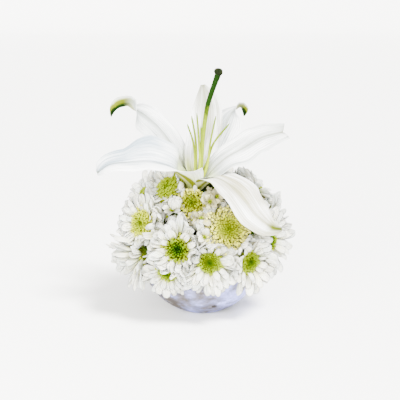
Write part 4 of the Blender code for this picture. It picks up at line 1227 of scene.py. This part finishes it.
def eye_tree(bud, tube):
    """A tree that stands buds and tubes on a dome."""
    tree, given = new_tree("florets on a dome", Count=120, Radius=10.0, Rise=3.0, Bud_Share=0.5, Length=2.5,
                           Width=1.0, Lean=0.6, Ragged=0.2, Seed=1)
    index = Wire(tree, add(tree, "GeometryNodeInputIndex").outputs[0])

    def chance(low, high, kind="FLOAT"):
        """A random number, or direction, for each floret."""
        ends = {0: low, 1: high} if kind == "FLOAT_VECTOR" else {2: low, 3: high}
        node = add(tree, "FunctionNodeRandomValue", {**ends, "ID": index, "Seed": given["Seed"]},
                   data_type=kind)
        return Wire(tree, node.outputs[0 if kind == "FLOAT_VECTOR" else 1])

    def vector(x, y, z):
        return add(tree, "ShaderNodeCombineXYZ", {"X": x, "Y": y, "Z": z})

    # each point sits a golden angle on from the last, on a dome that is flatter in the middle
    share = ((index + 0.5) / given["Count"]).through("SQRT")
    angle = index * GOLDEN_ANGLE
    reach = share * given["Radius"]
    height = (1.0 - share ** 2.6) * given["Rise"] + chance(-0.3 * MM, 0.3 * MM)
    place = vector(reach * angle.through("COSINE"), reach * angle.through("SINE"), height)
    dots = add(tree, "GeometryNodePoints", {"Count": given["Count"], "Position": place})
    dots = marked(tree, dots, "radial", share)
    # those further out lean further, and stray more
    tilt = share ** 1.5 * given["Lean"]
    outwards = tilt.through("SINE")
    aim = vector(outwards * angle.through("COSINE"), outwards * angle.through("SINE"),
                 tilt.through("COSINE"))
    stray = chance((-1.0, -1.0, -0.3), (1.0, 1.0, 0.3), "FLOAT_VECTOR")
    stray = add(tree, "ShaderNodeVectorMath", {0: stray, "Scale": share * given["Ragged"]},
                operation="SCALE")
    aim = add(tree, "ShaderNodeVectorMath", {0: aim, 1: stray}, operation="ADD")
    turn = add(tree, "FunctionNodeAlignRotationToVector", {"Vector": aim}, axis="Z")
    size = chance(0.72, 1.25)
    wide = given["Width"] * (share * 0.55 + 0.62) * size
    scale = vector(wide, wide, given["Length"] * (share * 0.5 + 0.5) * size)
    # buds inside, tubes outside
    inner = add(tree, "FunctionNodeCompare", {0: share, 1: given["Bud Share"]}, data_type="FLOAT",
                operation="LESS_THAN")
    outer = add(tree, "FunctionNodeBooleanMath", {0: inner}, operation="NOT")
    both = add(tree, "GeometryNodeJoinGeometry")
    for shape, selection in ((bud, inner), (tube, outer)):
        source = add(tree, "GeometryNodeObjectInfo", {"Object": shape}).outputs["Geometry"]
        stood = add(tree, "GeometryNodeInstanceOnPoints",
                    {"Points": dots, "Selection": selection, "Instance": source, "Rotation": turn,
                     "Scale": scale})
        connect(tree, stood, both.inputs[0])
    finish_tree(tree, both, given["Material"])
    return tree


bud_shape = small_turned("bud", BUD_PROFILE, TIP_DEPTH)
tube_shape = small_turned("tube", TUBE_PROFILE, -TIP_DEPTH)
eye_nodes = eye_tree(bud_shape, tube_shape)
print("eye tree:", len(eye_nodes.nodes), "nodes")

# %% [markdown]
# The eyes differ in colour, and each has painted shade down between its florets, darker towards the foot
# of each one. The stored radial value runs from the middle of the eye to its rim, and along runs up each
# floret, so one kind of finish with its own colours does for all of them.

# %% Eye finishes
# Each kind: colours from the middle to the rim, count, rise, share of shut buds, floret length and
# width, lean, how far it spreads for its disc, and how ragged it is
EYES = {
    "dark": dict(
        stops=[(0, (0.0017, 0.014, 0.00005)), (0.16, (0.0059, 0.032, 0.00005)),
               (0.32, (0.036, 0.085, 0.00005)), (0.52, (0.10, 0.16, 0.00009)),
               (0.76, (0.21, 0.25, 0.0001)), (1, (0.36, 0.38, 0.004))],
        count=124, rise=3.2, buds=0.44, length=5.4, width=1.4, lean=1.15, spread=1.18, ragged=0.42),
    "green": dict(
        stops=[(0, (0.012, 0.042, 0.00005)), (0.16, (0.04, 0.09, 0.00005)), (0.36, (0.12, 0.18, 0.00009)),
               (0.66, (0.21, 0.28, 0.0002)), (1, (0.36, 0.42, 0.006))],
        count=205, rise=3.6, buds=0.50, length=3.7, width=0.87, lean=0.95, spread=1.22, ragged=0.28),
    "yellow": dict(
        stops=[(0, (0.05, 0.12, 0.00007)), (0.2, (0.17, 0.235, 0.00005)), (0.7, (0.225, 0.285, 0.00005)),
               (1, (0.28, 0.325, 0.0001))],
        count=190, rise=4.4, buds=0.20, length=4.0, width=0.95, lean=0.9, spread=1.0, ragged=0.25),
    "pale": dict(
        stops=[(0, (0.033, 0.079, 0.00007)), (0.12, (0.13, 0.18, 0.0001)), (0.36, (0.25, 0.30, 0.0001)),
               (0.7, (0.38, 0.42, 0.001)), (1, (0.54, 0.54, 0.02))],
        count=240, rise=3.8, buds=0.16, length=4.4, width=0.95, lean=0.95, spread=1.26, ragged=0.32),
    "cream": dict(
        stops=[(0, (0.053, 0.11, 0.00007)), (0.14, (0.21, 0.27, 0.00005)), (0.36, (0.31, 0.36, 0.0001)),
               (0.48, (0.40, 0.44, 0.002)), (0.64, (0.60, 0.59, 0.05)), (1, (0.68, 0.65, 0.18))],
        count=340, rise=7.0, buds=0.10, length=5.5, width=1.05, lean=1.0, spread=1.62, ragged=0.30),
    "olive": dict(
        stops=[(0, (0.05, 0.09, 0.00007)), (0.24, (0.09, 0.12, 0.00007)), (0.5, (0.19, 0.215, 0.0002)),
               (0.75, (0.40, 0.40, 0.025)), (1, (0.54, 0.52, 0.09))],
        count=210, rise=6.0, buds=0.12, length=5.0, width=1.1, lean=1.0, spread=1.4, ragged=0.5),
}
EYES["side"] = EYES["green"]  # a half-open head seen from the side
SOFT_SHADE_EYES = {"yellow": 0.5, "pale": 0.3, "cream": 0.12}  # how light these stay between their florets
DARK_SHADE_BETWEEN = 0.02  # how light the others are there
FLECKED_EYES = {"olive": 0.75, "cream": 0.42}  # how strongly brown flecks show on these


def eye_finish(kind):
    """An eye's colours from middle to rim, with painted shade down between its florets and flecks on some
    kinds.
    """
    material, tree, shader = new_material(f"{kind} eye", 0.8, Specular_IOR_Level=0.0)
    wander = noise(tree, 420, 2) * 0.4 - 0.2
    colour = ramp(tree, stored(tree, "radial") + wander, EYES[kind]["stops"])
    # painted shade: each floret darkens towards its foot, a little less on the softer eyes
    low = SOFT_SHADE_EYES.get(kind, DARK_SHADE_BETWEEN)
    half = 0.34 + 0.66 * low
    depth = ramp(tree, stored(tree, "along"), [(0.0, (low, low, low * 0.6)),
                                               (0.40, (half, half, half * 0.7)),
                                               (0.75, (1, 1, 1)), (1.0, (1, 1, 1))])
    colour = times(tree, colour, depth)
    if kind in FLECKED_EYES:
        flecks = fade(tree, noise(tree, 520, 2), (0.42, 1), (0.47, 0)) * FLECKED_EYES[kind]
        colour = blend(tree, flecks, colour, (0.035, 0.032, 0.002))
    paint(tree, shader, colour)
    return material


eye_finishes = {kind: eye_finish(kind) for kind in EYES}
bract_green = petal_finish("bract", (0.02, 0.05, 0.002), (0.05, 0.11, 0.004), (0.10, 0.16, 0.01), 4,
                           translucent=0.0, gloss=0.05)
print("eye finishes:", len(eye_finishes))

# %% [markdown]
# Behind each head, two rings of short green bracts hold it like a cup, and below them the stem runs to
# its hole in the foam. The bracts are blades again, and the stem is a stalk.

# %% Stems of the mums
STEM_R, SPRAY_STEM_R, LILY_STEM_R = 1.7, 1.2, 3.2
STEM_WALL = 1.4  # foam between two stems
RIM_SLOPE = math.radians(9.5)
NAPE, CORE_LOW = -14.0, -7.0  # along a head's own axis: where its stem bends, and where its middle ends
STEM_RADII = [(0, 3.4), (0.16, 2.2), (0.3, STEM_R), (1, STEM_R)]


def set_stem_ways(mums, fixed):
    """The way each mum's stem leaves HEART: to its head, over the rim, and clear of the other stems."""
    for mum in mums:
        out = unit(mum["place"] - HEART)
        lowest = -math.tan(RIM_SLOPE) * math.hypot(out[0], out[1])
        mum["stem_way"] = unit((out[0], out[1], max(out[2], lowest)))
    for _ in range(20):
        for mum in mums:
            others = [(m["stem_way"], STEM_R) for m in mums if m is not mum] + fixed
            for way, radius in others:
                apart = mum["stem_way"] - way
                short = (STEM_R + radius + STEM_WALL) / STEM_END - np.linalg.norm(apart)
                if short > 0:
                    mum["stem_way"] = unit(mum["stem_way"] + unit(apart) * short * 0.5)


def mum_stem(mum):
    """A guide from the middle of a head, round its nape and down into the foam."""
    back = mum["place"] + mum["face"] * NAPE
    # it turns into its hole just outside the foam, or just short of the nape
    bend = min(FOAM_R + 4, np.linalg.norm(back - HEART) - 3)
    path = smooth_path([mum["place"] + mum["face"] * CORE_LOW, back, HEART + mum["stem_way"] * bend,
                        HEART + mum["stem_way"] * STEM_END], 20)
    return stalk(path, table_at(STEM_RADII, np.linspace(0, 1, 20)))


# the lily's stem bends just below its cup
lily_knee = LILY_BASE - lily_axis * (CUP_H + 0.3 + 2.6)
fixed_ways = [(unit(spray["place"] - HEART), SPRAY_STEM_R) for spray in sprays]
fixed_ways.append((unit(lily_knee - HEART), LILY_STEM_R))
set_stem_ways(mums, fixed_ways)
print("stems in the foam:", len(mums) + len(fixed_ways))

# %% Eyes and bracts
DOME_SIDES = 20
OVAL_EYES = {6: (1.35, Vector((0.45, 0.9, 0.0)))}  # a tall eye: how much longer, and along which way
EYE_SHARE = 0.90  # how much of its disc an eye covers
BACK_COUNT, BACK_WIDTH = 0.6, 1.25  # the eyes at the back have fewer, broader florets
# Rings of bracts: count, height of the root and of the tip, reach
BRACT_RINGS = [(9, -12.5, -6.0, 6.2), (10, -11.0, -4.2, 8.6)]


def local_matrix(centre, face):
    """The matrix that stands a mesh made round Z at a place, facing a direction."""
    side, up = frame_about(face)
    return Matrix.Translation(Vector(centre * MM)) @ Matrix(np.array([side, up, face]).T).to_4x4()


def bracts(mum, draw):
    """Guides of the two rings of bracts behind a head."""
    face, centre = mum["face"], mum["place"]
    side, up = frame_about(face)
    guides = []
    for count, low, high, reach in BRACT_RINGS:
        phase = draw.random()
        for k in range(count):
            out, along = around(2 * math.pi * (k + phase) / count, side, up)
            stops = [centre + face * low + out * 2.0, centre + face * (low + 1.6) + out * reach * 0.66,
                     centre + face * high + out * reach]
            guides.append(petal_guide(smooth_path(stops, 9), along, FLORET_FULLNESS, 2.3, draw))
    return guides


def eye_dome(number, mum, rise):
    """The closed middle under the florets of an eye, down to the nape of the head."""
    place, face, disc = mum["place"], mum["face"], mum["disc"]
    profile = [(2.0, -6.5), (6.5, -5.0), (disc * 0.86, -2.6), (disc * 0.93, -1.2),
               (disc * 0.6, rise * 0.55 - 1.2), (disc * 0.25, rise * 0.85 - 1.2)]
    rings = [circle(place + face * h, *frame_about(face), r, DOME_SIDES) for r, h in profile]
    points, faces = lofted(rings, place - face * 6.5, place + face * (rise * 0.9 - 1.2))
    radial = np.linalg.norm(np.cross(np.array(points) - place, face), axis=1) / disc
    # along 0.45 gives the dome part of the painted shade between the florets
    return built(f"dome_{number}", points, faces, eye_finishes[mum["eye"]], radial=radial, along=0.45)


print("bracts behind a head:", sum(ring[0] for ring in BRACT_RINGS))

# %% Every eye with its dome, bracts and stem
for number, mum in enumerate(mums, 1):
    eye, at_back = EYES[mum["eye"]], number > len(MUMS)
    count, broader = (round(eye["count"] * BACK_COUNT), BACK_WIDTH) if at_back else (eye["count"], 1.0)
    florets = grow(f"eye_{number}", bpy.data.meshes.new("none"), eye_nodes, eye_finishes[mum["eye"]],
                   Count=count, Radius=mum["disc"] * EYE_SHARE * eye["spread"] * MM, Rise=eye["rise"] * MM,
                   Bud_Share=eye["buds"], Length=eye["length"] * MM, Width=eye["width"] * broader * MM,
                   Lean=eye["lean"], Ragged=eye["ragged"], Seed=number)
    if number in OVAL_EYES:
        longer, along = OVAL_EYES[number]
        florets.data.transform(Matrix.Scale(longer, 4, along.normalized()))
    florets.data.transform(local_matrix(mum["place"] - mum["face"] * 1.0, mum["face"]))
    bract_guides = bracts(mum, random.Random(SEED * 200 + number))
    bract_piece = grow(f"bracts_{number}", line_mesh(bract_guides), blade_nodes, bract_green, Sides=8,
                       Thickness=0.16, Cup=0.3)
    stem = grow(f"stem_{number}", line_mesh([mum_stem(mum)]), stalk_nodes, stem_green, Sides=10)
    dome = eye_dome(number, mum, eye["rise"])
    piece = joined(f"mum_{number:02d}_eye", [florets, dome, bract_piece, stem])
    dress(piece, f"mum_{number:02d}_heart")
print("eyes:", len(mums))

# %% [markdown]
# ## Sprays of small florets
# Small florets and buds fill the gaps between the mums. A floret is six to eight uneven blades round a
# tiny eye, and a bud is five of the same blades closed over each other.

# %% Floret and bud guides
FOOT_DROP = 2.0  # how far below its middle a floret's petals are rooted
NUDGES, NUDGE, SHRINK = 30, 0.10, 0.96  # how often and how far one is drawn in, and how it shrinks
SMALLEST, GIVE = 4.5, 1.5  # the radius it keeps, and how far it may pass the border of its space


def floret_guides(centre, face, radius, draw, is_bud):
    """Petals open to an uneven cup, or five of them shut into a bud."""
    side, up = frame_about(face)
    phase = draw.random()
    count = 5 if is_bud else draw.choice((6, 7, 8))
    loose = 0.08 if is_bud else 0.3
    guides = []
    for k in range(count):
        out, along = around(2 * math.pi * (k + phase) / count + draw.uniform(-loose, loose), side, up)
        root = centre - face * FOOT_DROP + out * 0.8
        if is_bud:
            stops = [root, centre + out * radius * 0.92,
                     centre + face * radius * 0.95 + out * radius * 0.62,
                     centre + face * radius * 1.55 + out * radius * 0.05]
            half = radius * 0.80
            drift, twist = draw.uniform(-0.05, 0.05), 0.0
        else:
            rise = draw.uniform(-0.1, 0.9) * radius
            size = draw.uniform(0.62, 1.1) * radius
            stops = [root, centre + out * size * 0.45 + face * rise * 0.5,
                     centre + out * size * 0.82 + face * rise,
                     centre + out * size * draw.uniform(0.86, 1.05) + face * rise * draw.uniform(0.6, 1.25)]
            half = radius * draw.uniform(0.24, 0.46)
            drift, twist = draw.uniform(-0.18, 0.18), draw.uniform(-0.7, 0.7)
        guides.append(petal_guide(smooth_path(stops, 14), along, FLORET_FULLNESS, half, draw, drift, twist))
    return guides


def fitted(centre, radius, axis_point, space):
    """A floret's centre and radius, drawn in until it lies inside its space, or nearly."""
    for _ in range(NUDGES):
        if space.past(centre) + radius - GIVE <= 0:
            break
        centre = centre + NUDGE * (axis_point - centre)
        radius = max(SHRINK * radius, SMALLEST)
    return centre, radius


# %% Heads of a spray
FLORET_R = 10.5
SIDE_HEADS = 8  # round the head of a spray, every second one a bud
SPARSE_SPRAYS = {1: 4, 2: 4, 5: 4, 6: 4}  # fewer heads where dark gaps show
# painted shade: these sprays take the darker, creamier floret finish
SHADED_SPRAYS = (3, 4)  # the ones in the lily's shade are cream
# A few heads that show in front: centre, radius, the way it faces, and whether it is a bud
FRONT_HEADS = {1: [((-25.0, -57, 118.0), 5.4, (-0.1, -0.6, 0.8), True)],
               4: [((7.0, -57, 121.0), 9.0, (0.1, -0.95, 0.3), False),
                   ((14.0, -58, 126.0), 8.0, (0.3, -0.9, 0.3), False)]}


def spray_heads(number, place, room, space, draw):
    """Every head of a spray: its centre, radius, the way it faces, and whether it is a bud."""
    out = unit(place - HEART)
    side, up = frame_about(out)
    heads = [(place + out * 3, FLORET_R * draw.uniform(0.8, 1.0), unit(out + 0.3 * side), False)]
    count = SPARSE_SPRAYS.get(number, SIDE_HEADS)
    for k in range(count):
        lean, _ = around(2 * math.pi * (k + 0.5 * draw.random()) / count, side, up)
        is_bud = k % 2 == 1
        spot = place + lean * room * draw.uniform(0.6, 1.0) - out * draw.uniform(-1.0, 4.5)
        heads.append((spot, draw.uniform(3.2, 5.2) if is_bud else draw.uniform(0.5, 0.8) * FLORET_R,
                      unit(out + draw.uniform(0.3, 1.1) * lean), is_bud))
    heads = [(*fitted(spot, radius, place - out * 2, space), facing, is_bud)
             for spot, radius, facing, is_bud in heads]
    return heads + [(np.array(spot), radius, unit(facing), is_bud)
                    for spot, radius, facing, is_bud in FRONT_HEADS.get(number, [])]


# %% Sprays
for number, spray in enumerate(sprays, 1):
    draw = random.Random(SEED * 1000 + number)
    place = spray["place"]
    out = unit(place - HEART)
    fork = place - out * 9
    stalks = [stalk(smooth_path([HEART + out * STEM_END, HEART + out * 44, fork], 12),
                    np.full(12, SPRAY_STEM_R))]
    open_guides, bud_guides, eyes = [], [], []
    heads = spray_heads(number, place, spray["room"], spaces[len(mums) + number - 1], draw)
    for spot, radius, facing, is_bud in heads:
        stops = [fork - out * 1.5, 0.5 * (fork + spot) - facing * 1.0, spot - facing * 2.2]
        stalks.append(stalk(smooth_path(stops, 8), np.linspace(1.0, 1.3, 8)))
        guides = bud_guides if is_bud else open_guides
        guides += floret_guides(spot, facing, radius, draw, is_bud)
        if not is_bud:
            pollen = grow("pollen", bpy.data.meshes.new("none"), eye_nodes, eye_finishes["green"], Count=10,
                          Radius=radius * 0.11 * MM, Rise=0.8 * MM, Bud_Share=0.5, Length=1.8 * MM,
                          Width=0.55 * MM, Lean=0.6, Seed=number)
            pollen.data.transform(local_matrix(spot - facing * 0.6, facing))
            eyes.append(pollen)
    tint = floret_shaded if number in SHADED_SPRAYS else floret_white
    opened = grow("opened", line_mesh(open_guides), blade_nodes, tint, Sides=8, Thickness=0.07, Cup=0.30)
    shut = grow("shut", line_mesh(bud_guides), blade_nodes, floret_white, Sides=8, Thickness=0.12,
                Cup=-0.35)
    green = grow("stalks", line_mesh(stalks), stalk_nodes, stem_green, Sides=8)
    piece = joined(f"spray_{number}_florets", [opened, shut, green, *eyes])
    dress(piece, f"spray_{number}")
for shape in (bud_shape, tube_shape):
    bpy.data.objects.remove(shape)
print("sprays:", len(sprays))

# %% [markdown]
# ## The bowl
# The bowl is turned, so its wall is a profile swept about the axis. A hand-finished bowl isn't perfect:
# its radius wanders by a fraction of a millimetre and faint throwing rings run round it. The glaze is a
# pale lavender white on the right that darkens to mauve grey and brown towards the left, partly its own
# colour and partly painted shade, with a few pinholes where the clay shows.

# %% Bowl shape
BOWL_SIDES = 96


def bowl_profile():
    """(radius, z) round the whole wall, from the middle of the foot, up outside and down inside."""
    centre = BOWL_CENTRE[2]
    lip = BOWL_WALL / 2

    def arc(radius, low_z, high_z, steps):
        low, high = (math.asin((z - centre) / radius) for z in (low_z, high_z))
        return [(radius * math.cos(a), centre + radius * math.sin(a))
                for a in np.linspace(low, high, steps)]

    foot = [(FOOT_R * 0.3, 0.9), (FOOT_R * 0.8, 0.9), (FOOT_R - 3.4, 0.7), (FOOT_R - 2.6, 0.0),
            (FOOT_R - 0.9, 0.0), (FOOT_R - 0.15, 0.35)]
    outside = arc(BOWL_R, 0.9, RIM_Z - lip, 40)
    edge = [(BOWL_R - lip + lip * math.cos(a), RIM_Z - lip + lip * math.sin(a))
            for a in np.radians(np.linspace(12, 168, 9))]
    inside = arc(BOWL_R - BOWL_WALL, BOWL_WALL, RIM_Z - lip, 24)[::-1]
    return [*foot, *outside, *edge, *inside, (FOOT_R * 0.4, BOWL_WALL)]


draw = random.Random(SEED + 5)
waves = [draw.uniform(0, TURN) for _ in range(4)]
bowl_rings = []
for radius, z in bowl_profile():
    ring = []
    for k in range(BOWL_SIDES):
        a = 2 * math.pi * k / BOWL_SIDES
        wander = 0.22 * math.sin(2 * a + waves[0]) + 0.12 * math.sin(3 * a + waves[1] + z * 0.05)
        marks = 0.09 * math.sin(z * 1.9 + waves[2] + 0.4 * math.sin(a))
        marks += 0.38 * math.sin(7 * a + 0.21 * z + waves[3]) * math.sin(0.33 * z + 3 * a + waves[0])
        r = radius + (wander + marks) * min(1.0, z / 6.0)
        ring.append((r * math.cos(a), r * math.sin(a), z))
    bowl_rings.append(ring)
bowl_skin = lofted(bowl_rings, (0, 0, bowl_rings[0][0][2]), (0, 0, BOWL_WALL))
print("bowl:", len(bowl_rings), "rings")

# %% Glaze
PINHOLE, PINHOLE_R = (0.0117, -0.0411, 0.0126), 3.7 * MM  # the largest pinhole, low at the front
CLAY = (0.010, 0.006, 0.002)


def glaze_finish():
    """A matte glaze, lavender on the right, breaking in ragged blotches to mauve grey and brown towards the
    left, partly its own colour, partly painted shade.
    """
    material, tree, shader = new_material("bowl glaze", 0.6, Specular_IOR_Level=0.25, Coat_Weight=0.06,
                                          Coat_Roughness=0.4)
    place = add(tree, "ShaderNodeTexCoord").outputs["Object"]
    x = Wire(tree, add(tree, "ShaderNodeSeparateXYZ", {0: place}).outputs["X"])
    # painted shade and the glaze's own breaks: darker and browner towards the left, where less light falls,
    # in ragged blotches
    left_shade_and_glaze_breaks = (x * -9.5 + 0.32) + (noise(tree, 60, 6, (1, 1, 1.3)) * 3.0 - 1.5)
    body = ramp(tree, left_shade_and_glaze_breaks, [(0.0, (0.27, 0.29, 0.66)), (0.16, (0.175, 0.185, 0.36)),
                                (0.34, (0.135, 0.14, 0.25)), (0.54, (0.095, 0.09, 0.125)),
                                (0.74, (0.068, 0.058, 0.056)), (1.0, (0.045, 0.034, 0.026))])
    bands = noise(tree, 22, 4, (0.5, 0.5, 5))
    clouds = noise(tree, 120, 5, (1, 1, 1.6))
    speckle = noise(tree, 420, 4)
    shade = (bands * 0.7 + 0.66) * (clouds * 1.7 + 0.14) * (speckle * 1.1 + 0.45)
    # pinholes in a few cells of a Voronoi texture, and the largest one where it really is
    cells = add(tree, "ShaderNodeTexVoronoi", {"Vector": place, "Scale": 62.0}).outputs
    pick = Wire(tree, add(tree, "ShaderNodeSeparateColor", {0: cells["Color"]}).outputs["Red"])
    near = Wire(tree, cells["Distance"]).through("LESS_THAN", 0.06)
    gap = add(tree, "ShaderNodeVectorMath", {0: place, 1: PINHOLE}, operation="DISTANCE").outputs["Value"]
    large = (speckle * (2.4 * MM) + Wire(tree, gap)).through("LESS_THAN", PINHOLE_R)
    pin = (near * pick.through("GREATER_THAN", 0.80)).at_least(large)
    colour = blend(tree, pin, times(tree, body, grey(tree, shade)), CLAY)
    height = speckle * 0.7 + (clouds * 1.4 + bands * 0.8) - pin * 0.9
    paint(tree, shader, colour, height, 1.0, 0.0016)
    return material


def foam_finish():
    """Dark wet foam with clumps of moss."""
    material, tree, shader = new_material("wet foam and moss", 0.9, Specular_IOR_Level=0.2)
    clumps = noise(tree, 140, 5)
    colour = ramp(tree, clumps, [(0.30, (0.006, 0.008, 0.002)), (0.52, (0.022, 0.028, 0.006)),
                                 (0.68, (0.07, 0.075, 0.018)), (0.8, (0.10, 0.07, 0.03))])
    paint(tree, shader, colour, clumps, 0.9, 0.003)
    return material


dress(built("pot_shell", *bowl_skin, glaze_finish()), "pot")
refinish("foam", foam_finish())
print("bowl and foam made")
